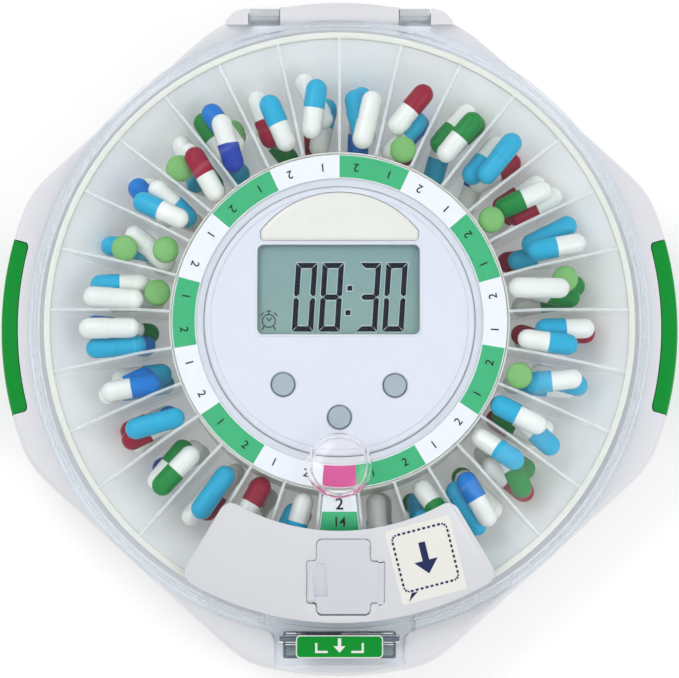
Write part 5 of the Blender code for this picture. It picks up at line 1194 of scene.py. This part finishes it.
# The middle of a node's box, seen from above.
def middle_of(box):
    return (box[0].x + box[1].x) / 2, (box[0].y + box[1].y) / 2 - AXIS_Y


def window_outline(box, margin):
    rows = rectangle(*middle_of(box), box[1].x - box[0].x + 2 * margin, box[1].y - box[0].y + 2 * margin)
    return rounded(rows, DISPLAY_CORNER + margin)


def lamp_outline(margin):
    radius = LAMP_WINDOW_ARC_RADIUS + margin
    half = (LAMP_BOX[1].x - LAMP_BOX[0].x) / 2 + margin
    low = LAMP_BOX[0].y - AXIS_Y - margin
    end = acos(half / radius)
    turns = [end + (pi - 2 * end) * i / LAMP_ARC_STEPS for i in range(LAMP_ARC_STEPS + 1)]
    arc = [(radius * cos(turn), LAMP_WINDOW_ARC_Y + radius * sin(turn)) for turn in turns]
    corner = max(LAMP_LEAST_CORNER, min(BUTTON_RADIUS / 2, (arc[0][1] - low) / LAMP_SIDE_SHARE) + margin)
    return rounded([(-half, low), (half, low)] + arc, [corner, corner] + [0.0] * len(arc))


def make_panel():
    low, high = PANEL_BOX[0].z, PANEL_BOX[1].z
    edge, groove, width = PANEL_EDGE_ROUND, PANEL_GROOVE_RADIUS, PANEL_GROOVE_WIDTH
    profile = [(0, low), (TURRET_RADIUS, low)]
    profile += [(TURRET_RADIUS - edge * (1 - c), high - edge * (1 - s)) for s, c in quarter(2 * ARC_STEPS)]
    profile += [(groove + width, high), (groove + width / 2, high - width), (groove - width / 2, high - width),
                (groove - width, high), (0, high)]
    below, above = low - OVERRUN, high + OVERRUN
    tools = [plate(window_outline(WINDOW_BOX, GAP), below, above), plate(lamp_outline(HAIR), below, above)]
    rim, hole = BUTTON_HOLE_RIM, BUTTON_RADIUS + GAP
    bore = [(0, below), (hole, below), (hole, high - rim), (hole + 2 * rim, high + rim), (0, high + rim)]
    for name in BUTTON_BODIES:
        tools.append(lathe(bore, SMALL_STEPS, closed=False, place=(*middle_of(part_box(name)), 0)))
    mesh = cut(lathe(profile, closed=False), *tools)
    dress("turret_face", mesh, "panel_plastic", "base", "control_panel")
    bezel = plate(window_outline(WINDOW_BOX, FRAME_MARGIN), high - FRAME_SINK, high + FRAME_RISE,
                  window_outline(WINDOW_BOX, GAP))
    dress("display_frame", softened(bezel, THIN_EDGE), "panel_plastic", "base", "control_panel")


def make_windows():
    pane = softened(plate(window_outline(WINDOW_BOX, 0.0), WINDOW_BOX[0].z, WINDOW_BOX[1].z), PANE_EDGE)
    dress("display_pane", pane, "clear_window", "base", "display_window")
    rings = [[(x, y, LAMP_BOX[0].z) for x, y in lamp_outline(0.0)]]
    for s, c in quarter(LAMP_EDGE_STEPS):
        height = LAMP_BOX[1].z - LAMP_EDGE_DROP + (LAMP_EDGE_DROP + LAMP_CROWN) * s
        rings.append([(x, y, height) for x, y in lamp_outline(-LAMP_EDGE_SPAN * (1 - c))])
    dress("lamp_dome", skin(rings), "ivory_plastic", "base", "lamp_window", smooth_angle=50.0)


def segment_outline(index):
    wide, high, thick, slit = DIGIT_WIDTH, DIGIT_HEIGHT, SEGMENT_THICK, SEGMENT_SLIT
    mid = -high / 2
    if index in (0, 6):
        y, way = (0.0, -1) if index == 0 else (-high, 1)
        return [(slit, y), (wide - slit, y), (wide - thick - slit, y + way * thick), (thick + slit, y + way * thick)]
    if index == 3:
        half = thick / 2
        return [(slit + half, mid), (slit + 2 * half, mid + half), (wide - slit - 2 * half, mid + half),
                (wide - slit - half, mid), (wide - slit - 2 * half, mid - half), (slit + 2 * half, mid - half)]
    x, way = (0.0, 1) if index in (1, 4) else (wide, -1)
    top, low, turn = (-slit, mid + slit, 1) if index in (1, 2) else (-high + slit, mid - slit, -1)
    return [(x, top), (x, low + turn * thick * 0.25), (x + way * thick / 2, low),
            (x + way * thick, low + turn * thick / 2), (x + way * thick, top - turn * thick)]


def grown(outline, margin):
    middle = sum((Vector(point) for point in outline), Vector((0, 0))) / len(outline)
    spread = [max(abs(point[i] - middle[i]) for point in outline) for i in (0, 1)]
    return [tuple(middle[i] + (point[i] - middle[i]) * (1 + margin / spread[i]) for i in (0, 1)) for point in outline]


def make_display():
    low, high = MODULE_BOX[0].z, MODULE_BOX[1].z
    module = softened(plate(window_outline(MODULE_BOX, 0.0), low, high), THIN_EDGE)
    dress("display_field", module, "display_glass", "base", "display_module")
    x, y = middle_of(WINDOW_BOX)
    shapes, left = [], DIGIT_LEFT
    for digit, step in zip("0830", DIGIT_STEPS):
        shapes += [(segment_outline(index), left, DIGIT_TOP) for index in DIGIT_SEGMENTS[digit]]
        left += step
    shapes += [(rectangle(0, 0, COLON_SIZE, COLON_SIZE), *place) for place in COLON_PLACES]
    lean = tan(radians(DIGIT_LEAN))
    leaning = [[(x + aside + px + (up + py) * lean, y + up + py) for px, py in outline]
               for outline, aside, up in shapes]
    inks = [plate(outline, high + HAIR, high + 2 * HAIR) for outline in leaning]
    halos = [plate(grown(outline, SEGMENT_HALO), high, high + HAIR) for outline in leaning]
    dress("display_segments", merged(inks), "segment_ink", "base", "display_module")
    dress("segment_edges", merged(halos), "segment_halo", "base", "display_module")
    x, y, size, line = x + CLOCK_X, y + CLOCK_Y, CLOCK_RADIUS, CLOCK_LINE
    strokes = [plate(circle(size, x, y), high, high + HAIR, circle(size - line, x, y))]
    for ends in CLOCK_SHARES:
        start, end = ((x + size * share_x, y + size * share_y) for share_x, share_y in ends)
        strokes.append(plate(line_outline(start, end, line), high, high + HAIR))
    dress("clock_mark", merged(strokes), "segment_ink", "base", "display_module")


def make_buttons():
    flange, radius, edge = BUTTON_RADIUS + BUTTON_FLANGE, BUTTON_RADIUS, BUTTON_ROUND
    for name, body in BUTTON_BODIES.items():
        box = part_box(name)
        low, high = box[0].z, box[1].z
        profile = [(0, low), (flange, low), (flange, low + BUTTON_FLANGE_THICK), (radius, low + BUTTON_FLANGE_THICK)]
        profile += [(radius - edge * (1 - c), high - edge * (1 - s)) for s, c in quarter(ARC_STEPS)]
        profile += [(radius * share, high - dip) for share, dip in BUTTON_DISH]
        mesh = lathe(profile, SMALL_STEPS, closed=False, place=(*middle_of(box), 0))
        dress("soft_" + name, mesh, "button_plastic", body, name)


# Lid

def slope_height(radius):
    share = (radius - CREASE_RADIUS) / (LID_SHOULDER_RADIUS - CREASE_RADIUS)
    return LID_TOP + (LID_SHOULDER_HEIGHT - LID_TOP) * share


# Two offsets from the slope's outer face, run about the axis between plain ends.
def slope_ring(low, high):
    rise = 1 / cos(SLOPE)
    inner, outer = CREASE_RADIUS - LID_THICK, SKIRT_OUTER_RADIUS
    return lathe([(radius, slope_height(radius) + offset * rise)
                  for radius, offset in ((inner, high), (outer, high), (outer, low), (inner, low))])


# A plate with this outline that reaches through the whole lid.
def through_lid(outline):
    return plate(outline, LID_BOTTOM, LID_TOP + OVERRUN)


def gate_outline(margin, corner=GATE_CORNER, steps=24):
    points, radii = [], []
    for radius, way in ((GATE_INNER_RADIUS + margin, 1), (GATE_OUTER_RADIUS - margin, -1)):
        half = GATE_HALF_ANGLE - degrees(margin / radius)
        inside = half - degrees(1.1 * corner / radius)
        turns = [-half] + [inside * (2 * i / steps - 1) for i in range(steps + 1)] + [half]
        points += [tuple(polar(radius, -90 + way * turn).to_2d()) for turn in turns]
        radii += [corner if abs(turn) == half else 0.0 for turn in turns]
    return rounded(points, radii, steps=8)


def flap_outline(margin, relief=0.0):
    left, right = -FLAP_LEFT_X - margin, FLAP_RIGHT_X + margin
    ear = FLAP_AXIS_X + FLAP_KNUCKLE_RADIUS + margin
    finger = -FLAP_FINGER_X - margin
    inner, inner_ear = -FLAP_INNER_Y + margin, -FLAP_EAR_INNER_Y + margin
    outer_ear, outer = -FLAP_EAR_OUTER_Y - margin + relief, -FLAP_OUTER_Y - margin + relief
    corners = [(left, inner), (left, inner_ear), (finger, inner_ear), (finger, outer_ear), (left, outer_ear),
               (left, outer), (right, outer), (right, outer_ear), (ear, outer_ear), (ear, inner_ear - relief),
               (right, inner_ear - relief), (right, inner)]
    return rounded(corners, [FLAP_OUTER_CORNER if i in (0, 5, 6, 11) else FLAP_CORNER for i in range(12)])


def slope_point(x, y, offset):
    return Vector((x, y, slope_height(hypot(x, y)) + offset / cos(SLOPE)))


# A rod on the flap's axis, which lies in the slope.
def flap_rod(start, end, radius):
    first, last = (slope_point(FLAP_AXIS_X, -out, GAP + GATE_THICK / 2) for out in (FLAP_EAR_INNER_Y, FLAP_EAR_OUTER_Y))
    length = FLAP_EAR_OUTER_Y - FLAP_EAR_INNER_Y
    ends = [first.lerp(last, (out - FLAP_EAR_INNER_Y) / length) for out in (start, end)]
    return rod(*ends, radius)


# The tongue seen from above, flared where it leaves the flange.
def tongue_outline():
    half = TONGUE_HALF_WIDTH
    right = flared_flank(half, TONGUE_FLARE, FLANGE_RADIUS)
    left = [(-x, y) for x, y in right]
    corners = [left[-1], (-half, -TONGUE_REACH), (half, -TONGUE_REACH), right[-1]]
    ends = rounded(corners, [0.0, TONGUE_CORNER, TONGUE_CORNER, 0.0])
    return left + ends[1:-1] + right[::-1]


def make_lid():
    barrel, inner_skirt, flange_top = HINGE_BARREL_RADIUS, SKIRT_OUTER_RADIUS - LID_THICK, LID_BOTTOM + FLANGE_THICK
    profile = [((0, LID_TOP), 0.0), ((CREASE_RADIUS, LID_TOP), CREASE_ROUND),
               ((LID_SHOULDER_RADIUS, LID_SHOULDER_HEIGHT), 0.0015), ((SKIRT_OUTER_RADIUS, LID_SKIRT_TOP), 0.0012),
               ((SKIRT_OUTER_RADIUS, flange_top), 0.0003), ((FLANGE_RADIUS, flange_top), 0.0004),
               ((FLANGE_RADIUS, LID_BOTTOM), 0.0003), ((inner_skirt, LID_BOTTOM), 0.0003),
               ((inner_skirt, slope_height(inner_skirt) - LID_THICK / cos(SLOPE)), 0.001),
               ((CREASE_RADIUS - LID_THICK * tan(SLOPE / 2), LID_TOP - LID_THICK), CREASE_ROUND),
               ((0, LID_TOP - LID_THICK), 0.0)]
    mesh = lathe(rounded(*map(list, zip(*profile)), steps=6, closed=False), closed=False)
    mesh = cut(mesh, block((-ARM_INNER, ARM_ROOT, LID_BOTTOM - OVERRUN),
                           (ARM_INNER, HINGE_OUT + barrel, HINGE_HEIGHT + barrel + 2 * GAP)))
    arm = [(ARM_ROOT, LID_BOTTOM), (HINGE_OUT, LID_BOTTOM)]
    for i in range(ARM_STEPS + 1):
        turn = radians(-75 + 165 * i / ARM_STEPS)
        arm.append((HINGE_OUT + barrel * cos(turn), HINGE_HEIGHT + barrel * sin(turn)))
    arm.append((ARM_ROOT, HINGE_HEIGHT + barrel))
    parts = [run_across(arm, sorted((side * ARM_INNER, side * ARM_OUTER))) for side in (-1, 1)]
    mesh = fused(mesh, *parts, softened(plate(tongue_outline(), LID_BOTTOM, TONGUE_TOP), 0.0005))
    void = TONGUE_HALF_WIDTH - TONGUE_WALL
    pin = void + TONGUE_WALL / 2 + GAP
    holes = [axle(HINGE_AXIS, side * (ARM_INNER - OVERRUN), side * (ARM_OUTER + OVERRUN), HINGE_PIN_RADIUS + GAP)
             for side in (-1, 1)]
    tongue_void = block((-void, -TONGUE_REACH + TONGUE_LIP, LID_BOTTOM - OVERRUN), (void, -TONGUE_VOID_INNER, LID_TOP))
    lens_hole = rod((0, -LENS_OUT, LID_TOP - LID_THICK - OVERRUN), (0, -LENS_OUT, LID_TOP + OVERRUN),
                    LENS_RADIUS - LENS_PLUG_INSET + GAP, steps=64)
    mesh = cut(mesh, *holes, tongue_void, axle(LATCH_AXIS, -pin, pin, LATCH_PIN_RADIUS + GAP),
               through_lid(gate_outline(LID_WINDOW_MARGIN)), lens_hole)
    for face in mesh.polygons:
        x, y, z = face.center
        face.material_index = int(y > ARM_ROOT + ARM_PRINT_ROOT and z > LID_BOTTOM + GAP
                                  and ARM_INNER - HAIR < abs(x) < ARM_OUTER + HAIR)
    dress("lid_cover", mesh, ("clear_lid", "arm_plastic"), "lid", "lid_shell")


def make_gate():
    mesh = kept_inside(slope_ring(GAP, GAP + GATE_THICK), through_lid(gate_outline(0.0)))
    mesh = cut(mesh, through_lid(flap_outline(FLAP_SEAM)))
    boss = 2 * FLAP_KNUCKLE_RADIUS
    inner, outer = FLAP_EAR_INNER_Y - FLAP_SEAM, FLAP_EAR_OUTER_Y + FLAP_SEAM
    mesh = fused(mesh, flap_rod(inner - boss, inner, FLAP_KNUCKLE_RADIUS),
                 flap_rod(outer, outer + boss / 2, FLAP_KNUCKLE_RADIUS))
    mesh = cut(mesh, flap_rod(inner - boss / 2 - GAP, outer + boss / 4, FLAP_BORE_RADIUS))
    dress("gate", softened(mesh, GATE_EDGE, segments=2), "gate_plastic", "lid", "gate_plate")


# The flap, with a knuckle on its axis and a finger ridge beside a scooped groove.
def make_flap():
    mesh = kept_inside(slope_ring(GAP, GAP + GATE_THICK), through_lid(flap_outline(0.0, FLAP_RELIEF)))
    mesh = fused(softened(mesh, FLAP_EDGE),
                 flap_rod(FLAP_EAR_INNER_Y + HAIR, FLAP_EAR_OUTER_Y - HAIR, FLAP_KNUCKLE_RADIUS))
    x = -FLAP_FINGER_X + FLAP_GRIP_RADIUS
    near = FLAP_EAR_INNER_Y + FLAP_CORNER + FLAP_GRIP_INNER
    far = FLAP_EAR_OUTER_Y - FLAP_CORNER - FLAP_GRIP_OUTER
    grip = rod(slope_point(x - 0.0002, -near, GATE_THICK - 0.0001), slope_point(x, -far, GATE_THICK + 0.0004),
               0.6 * FLAP_GRIP_RADIUS, FLAP_GRIP_RADIUS)
    side = x + FLAP_GRIP_RADIUS + 0.7 * FLAP_SCOOP_RADIUS
    scoop = rod(slope_point(side, -near, GATE_THICK + 0.0023), slope_point(side, -far, GATE_THICK + 0.0014),
                FLAP_SCOOP_RADIUS)
    mesh = cut(mesh, scoop, flap_rod(FLAP_EAR_INNER_Y - OVERRUN, FLAP_EAR_OUTER_Y + OVERRUN, FLAP_BORE_RADIUS))
    dress("flap", fused(mesh, grip), "flap_plastic", "flap", "dispensing_flap")


# A hollow dome over the front of the ring, on its own flange.
def make_lens():
    low = LENS_BOX[0].z
    rim = low + LID_THICK
    rise = LENS_BOX[1].z - rim
    plug = LENS_RADIUS - LENS_PLUG_INSET
    dome = quarter(DOME_STEPS)
    profile = [(LENS_RADIUS * s, rim + rise * c) for s, c in dome]
    profile += [(plug, rim), (plug, low), (plug - LENS_WALL, low)]
    profile += [((plug - LENS_WALL) * s, rim + (rise - LENS_WALL) * c) for s, c in reversed(dome)]
    mesh = lathe(profile, 96, closed=False, place=(0, -LENS_OUT, 0))
    dress("lens_bubble", mesh, "clear_lens", "lid", "magnifier_lens", smooth_angle=50.0)


def make_latch():
    half = TONGUE_HALF_WIDTH - TONGUE_WALL - GAP
    inner, outer = -TONGUE_VOID_INNER - GAP, -TONGUE_REACH + TONGUE_LIP + LATCH_PRESS_GAP
    rows = rounded([(-half, outer), (half, outer), (half, inner), (-half, inner)], LATCH_CORNER)
    low = LATCH_BOX[0].z
    leg = block((LATCH_LEG_LEFT_X, -LATCH_LEG_OUTER, low),
                (LATCH_LEG_RIGHT_X, -LATCH_LEG_INNER, LATCH_PLATE_LOW + GAP))
    nose = block((LATCH_LEG_LEFT_X, -LATCH_NOSE_OUT, low),
                 (LATCH_LEG_RIGHT_X, -LATCH_LEG_INNER - GAP, low + LATCH_NOSE_THICK))
    knuckles = [axle(LATCH_AXIS, start, end, LATCH_KNUCKLE_RADIUS) for start, end in (
        (HAIR - half, LATCH_SPRING_LEFT_X - HAIR), (LATCH_SPRING_RIGHT_X + HAIR, half - HAIR))]
    mesh = fused(plate(rows, LATCH_PLATE_LOW, LATCH_PLATE_TOP), *knuckles, leg, nose)
    spring_room = block((LATCH_SPRING_LEFT_X, -LATCH_AXIS_OUT - LATCH_SPRING_REACH, LATCH_PLATE_LOW - OVERRUN),
                        (LATCH_SPRING_RIGHT_X, -TONGUE_VOID_INNER, LATCH_PLATE_TOP + OVERRUN))
    mesh = cut(mesh, spring_room, axle(LATCH_AXIS, -half - OVERRUN, half + OVERRUN, LATCH_PIN_RADIUS + GAP))
    dress("latch_key", mesh, "clear_lid", "latch", "latch_button")


# The latch's badge: a pale edge, a green field, and a plain mark for pressing down.
def make_badge():
    low, high = LABEL_BOX[0].z, LABEL_BOX[1].z
    x, near = middle_of(LABEL_BOX)[0], AXIS_Y - LABEL_BOX[1].y
    y, width, depth = -(near + LABEL_REACH) / 2, LABEL_BOX[1].x - LABEL_BOX[0].x, LABEL_REACH - near
    edge = plate(rounded(rectangle(x, y, width, depth), LATCH_CORNER), low, high - HAIR)
    dress("badge_edge", softened(edge, LABEL_EDGE, segments=2), "white_print", "latch", "latch_label")
    rows = rectangle(x, y, width - 2 * LABEL_BORDER, depth - 2 * LABEL_BORDER)
    field = plate(rounded(rows, LATCH_CORNER - LABEL_BORDER), high - HAIR, high)
    dress("badge_field", field, "label_print", "latch", "latch_label")
    lift, arrow_height, arrow_width = LABEL_ARROW
    shapes = [arrow_outline(x, y + lift, arrow_height, arrow_width)]
    low_y, high_y, line = y - BRACKET_LOW, y + BRACKET_HIGH, BRACKET_LINE
    for side in (-1, 1):
        inner, outer = x + side * BRACKET_INNER, x + side * BRACKET_OUTER
        shapes.append([(inner, low_y), (outer, low_y), (outer, high_y), (outer - side * line, high_y),
                       (outer - side * line, low_y + line), (inner, low_y + line)])
    marks = merged([plate(shape, high, high + HAIR / 2) for shape in shapes])
    dress("badge_mark", marks, "white_print", "latch", "latch_label")


# The note on the gate: a pale sheet with a dashed balloon and a plain arrow, wrapped on the slope.
def make_sticker():
    turn = Matrix.Rotation(radians(STICKER_TURN), 2)
    centre = Vector((STICKER_X, -STICKER_OUT))

    def laid(outline):
        return [tuple(centre + turn @ Vector(point)) for point in outline]

    face = GAP + GATE_THICK
    sheet = laid(rounded(rectangle(0, 0, STICKER_WIDTH, STICKER_DEPTH), STICKER_CORNER))
    mesh = kept_inside(slope_ring(face, face + HAIR), through_lid(sheet))
    dress("gate_note", mesh, "sticker_paper", "lid", "gate_plate")
    half_width, half_depth = STICKER_WIDTH * BALLOON_SHARES[0], STICKER_DEPTH * BALLOON_SHARES[1]
    low, high = -half_depth + BALLOON_RISE, half_depth + BALLOON_RISE
    path = rounded([(-half_width, low), (half_width, low), (half_width, high), (-half_width, high)],
                   BALLOON_CORNER, steps=3)
    shapes = [[(-half_width + aside, low - down) for aside, down in BALLOON_TAIL]]
    for start, end in zip(path, path[1:] + path[:1]):
        start, end = Vector(start), Vector(end)
        count = round((end - start).length / DASH_PITCH)
        for i in range(count):
            ends = [start.lerp(end, (i + share) / count) for share in DASH_SHARES]
            shapes.append(line_outline(*ends, DASH_WIDTH))
        if not count and (end - start).length > WELD:
            shapes.append(line_outline(start, end.lerp(start, DOT_SHARE), DOT_WIDTH))
    shapes.append(arrow_outline(0.0, *STICKER_ARROW))
    mesh = merged([plate(laid(shape), 0.0, 1.0) for shape in shapes])
    for vertex in mesh.vertices:
        rise = face + (1.8 if vertex.co.z > 0.5 else 0.9) * HAIR
        vertex.co = slope_point(vertex.co.x, vertex.co.y, rise)
    dress("note_print", mesh, "sticker_ink", "lid", "gate_plate")


# Pills

# A two-part capsule along Z about its middle; the cap's rim stands proud of the body.
def capsule_mesh(body_place, cap_place):
    half = CAPSULE_LENGTH / 2
    rim = half - CAPSULE_LENGTH * CAPSULE_CAP_SHARE
    small, large = CAPSULE_BODY_RADIUS, CAPSULE_RADIUS
    profile = [(small * s, -half + small * (1 - c)) for s, c in quarter(ARC_STEPS)]
    profile += [(small, rim - CAPSULE_LIP), (large, rim)]
    profile += [(large * c, half - large * (1 - s)) for s, c in quarter(ARC_STEPS)]
    mesh = lathe(profile, CAPSULE_STEPS, closed=False)
    for face in mesh.polygons:
        face.material_index = cap_place if face.center.z > rim - CAPSULE_LIP_PRINT else body_place
    return mesh


def tablet_mesh():
    half, edge = TABLET_THICK / 2, TABLET_THICK * TABLET_EDGE_SHARE
    upper = [(TABLET_RADIUS * out, half - edge * down) for out, down in reversed(TABLET_ROUND_SHARES)] + [(0, half)]
    mesh = lathe([(radius, -height) for radius, height in reversed(upper)] + upper, TABLET_STEPS, closed=False)
    for face in mesh.polygons:
        face.material_index = len(PILL_COLOURS) - 1
    return mesh


# The height that a ball of this radius rests at on the bowl, at a distance from the axis.
def rest_height(distance, radius):
    run = TRAY_WALL_RADIUS - TRAY_FLOOR_RADIUS
    lean = atan2(cone_height(TRAY_FLOOR_RADIUS + run) - TRAY_FLOOR_TOP, run)
    return max(TRAY_FLOOR_TOP + radius, cone_height(distance) + radius / cos(lean)) + PILL_ROOM


# Drops pills one by one into a compartment that lies along +X; each takes the lowest place found.
def fill_compartment(chance):
    balls, laid = [], []
    half_turn = radians(COMPARTMENT_ANGLE / 2)
    wall = DIVIDER_THICK / 2 + PILL_ROOM
    for _ in range(PILLS_EACH):
        tablet = chance.random() < TABLET_CHANCE
        reach = 0.0 if tablet else CAPSULE_LENGTH / 2 - CAPSULE_RADIUS
        size = TABLET_RADIUS if tablet else CAPSULE_RADIUS
        best = None
        for _ in range(PILL_TRIES):
            yaw = chance.uniform(-PILL_YAW, PILL_YAW) + (pi if chance.random() < 0.5 else 0.0)
            tilt = 0.0 if tablet else chance.uniform(-PILL_TILT, PILL_TILT)
            along = Vector((cos(tilt) * cos(yaw), cos(tilt) * sin(yaw), sin(tilt)))
            middle = Vector((chance.uniform(PILL_NEAR, PILL_FAR), chance.uniform(-PILL_ASIDE, PILL_ASIDE), 0))
            shares = (0.0,) if tablet else (-1.0, -0.5, 0.0, 0.5, 1.0)
            points = [middle + along * (reach * share) for share in shares]
            lift = 0.0
            for point in points:
                distance = hypot(point.x, point.y)
                side = point.x * sin(half_turn) - abs(point.y) * cos(half_turn)
                if side < size + wall or distance < TRAY_INNER_WALL_RADIUS + size + PILL_ROOM or distance > PILL_REACH:
                    break
                lift = max(lift, rest_height(distance, size) - point.z)
                for other, other_size in balls:
                    apart = hypot(point.x - other.x, point.y - other.y)
                    touch = size + other_size + PILL_ROOM
                    if apart < touch:
                        lift = max(lift, other.z + sqrt(touch ** 2 - apart ** 2) - point.z)
            else:
                top = max(point.z for point in points) + lift + size
                limit = min(divider_height(hypot(point.x, point.y)) for point in points)
                if top < limit - PILL_HEADROOM[0] + PILL_HEADROOM[1] and (best is None or top < best[0]):
                    best = (top, lift, along, middle, points)
        if best:
            _, lift, along, middle, points = best
            rise = Vector((0, 0, lift))
            balls += [(point + rise, size) for point in points]
            laid.append((middle + rise, along, tablet))
    return laid


def make_pills():
    chance = random.Random(PILL_SEED)
    kinds = [kind for kind, count in CAPSULE_KINDS for _ in range(count)]
    for number in range(1, COMPARTMENTS):
        meshes = []
        for middle, along, tablet in fill_compartment(chance):
            if tablet:
                mesh = tablet_mesh()
                turn = Matrix.Rotation(chance.uniform(-TABLET_LEAN, TABLET_LEAN), 4, 'X')
            else:
                mesh = capsule_mesh(*chance.choice(kinds))
                turn = Vector((0, 0, 1)).rotation_difference(along).to_matrix().to_4x4()
            mesh.transform(Matrix.Translation(middle) @ turn)
            meshes.append(mesh)
        mesh = turned(merged(meshes), radians(-90 + number * COMPARTMENT_ANGLE), 'Z')
        dress(f"pills_compartment_{number:02d}", mesh, PILL_COLOURS, "tray", smooth_angle=45.0)


# The finishes of the nodes that stay.
def finish_kept_nodes():
    for material, names in (
            ("pin_plastic", "hinge_pin_left hinge_pin_right"),
            # The latch pin takes the painted shade grey, so that it sinks into the shade of the latch's void.
            ("lining_grey", "latch_pin"),
            ("bare_steel", "flap_pin drive_axle reduction_axle motor contact_first contact_middle contact_last "
                           "contact_joining_left contact_joining_right"),
            ("dark_steel", "latch_spring"),
            ("gear_plastic", "ring_gear drive_gear reduction_gear motor_pinion gear_chassis"),
            ("board_green", "control_board"),
            ("foot_rubber", "sounder"),
            ("button_plastic", "button_pad"),
            ("lamp_red", "alarm_lamp")):
        for name in names.split():
            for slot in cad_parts[name].material_slots:
                slot.material = FINISHES[material]


# Floor, lamps and camera

# One wherever the camera sees the material, straight or by way of gloss or clear plastic.
def seen_share(tree):
    path = node(tree, 'ShaderNodeLightPath')
    seen = math_of(tree, 'MAXIMUM', path.outputs['Is Camera Ray'], path.outputs['Is Glossy Ray'])
    return math_of(tree, 'MAXIMUM', seen, path.outputs['Is Transmission Ray'])


def make_floor():
    tree, _, shader = surfaced("floor_paper", paint(238, 238, 238), 0.9, wander=0.0, grain=0.0)
    shader.inputs['Emission Color'].default_value = WHITE
    tree.links.new(math_of(tree, 'MULTIPLY', seen_share(tree), FLOOR_GLOW), shader.inputs['Emission Strength'])
    mesh = plate(rectangle(0, 0, FLOOR_SIZE, FLOOR_SIZE), FLOOR_LOW, FLOOR_TOP)
    mesh.materials.append(FINISHES["floor_paper"])
    floor = placed("floor", mesh)


def make_world():
    world = bpy.data.worlds.new("studio")
    world.use_nodes = True
    tree = world.node_tree
    tree.nodes.clear()
    dim, white = (node(tree, 'ShaderNodeBackground', {'Color': WHITE, 'Strength': strength}).outputs[0]
                  for strength in (WORLD_LIGHT, 1.0))
    blend = node(tree, 'ShaderNodeMixShader', {0: seen_share(tree), 1: dim, 2: white}).outputs[0]
    node(tree, 'ShaderNodeOutputWorld', {'Surface': blend})
    bpy.context.scene.world = world


def make_lamps():
    for name, (place, size, power) in LAMPS.items():
        light = bpy.data.lights.new(name, 'AREA')
        light.shape = 'RECTANGLE'
        light.size, light.size_y = size
        light.energy = power
        lamp = placed(name, light)
        lamp.location = place
        lamp.rotation_euler = (-Vector(place)).to_track_quat('-Z', 'Y').to_euler()


def make_camera():
    data = bpy.data.cameras.new("camera")
    data.lens = CAMERA_LENS
    data.sensor_width = 36.0
    data.clip_start = 0.05
    camera = placed("camera", data)
    rise = radians(CAMERA_RISE)
    camera.location = Vector(CAMERA_TARGET) + CAMERA_DISTANCE * Vector((0, -cos(rise), sin(rise)))
    camera.rotation_euler = (pi / 2 - rise, 0, 0)
    bpy.context.scene.camera = camera


for make in (make_lower_shell, make_upper_shell, make_grips, make_feet, make_screws, make_battery_door, make_cells,
             make_tray, make_dividers, make_dosage_ring, make_home_strip, make_panel, make_windows, make_display,
             make_buttons, make_lid, make_gate, make_flap, make_lens, make_latch, make_badge, make_sticker,
             make_pills, finish_kept_nodes, make_floor, make_world, make_lamps, make_camera):
    make()
bpy.context.scene.view_settings.view_transform = 'Standard'
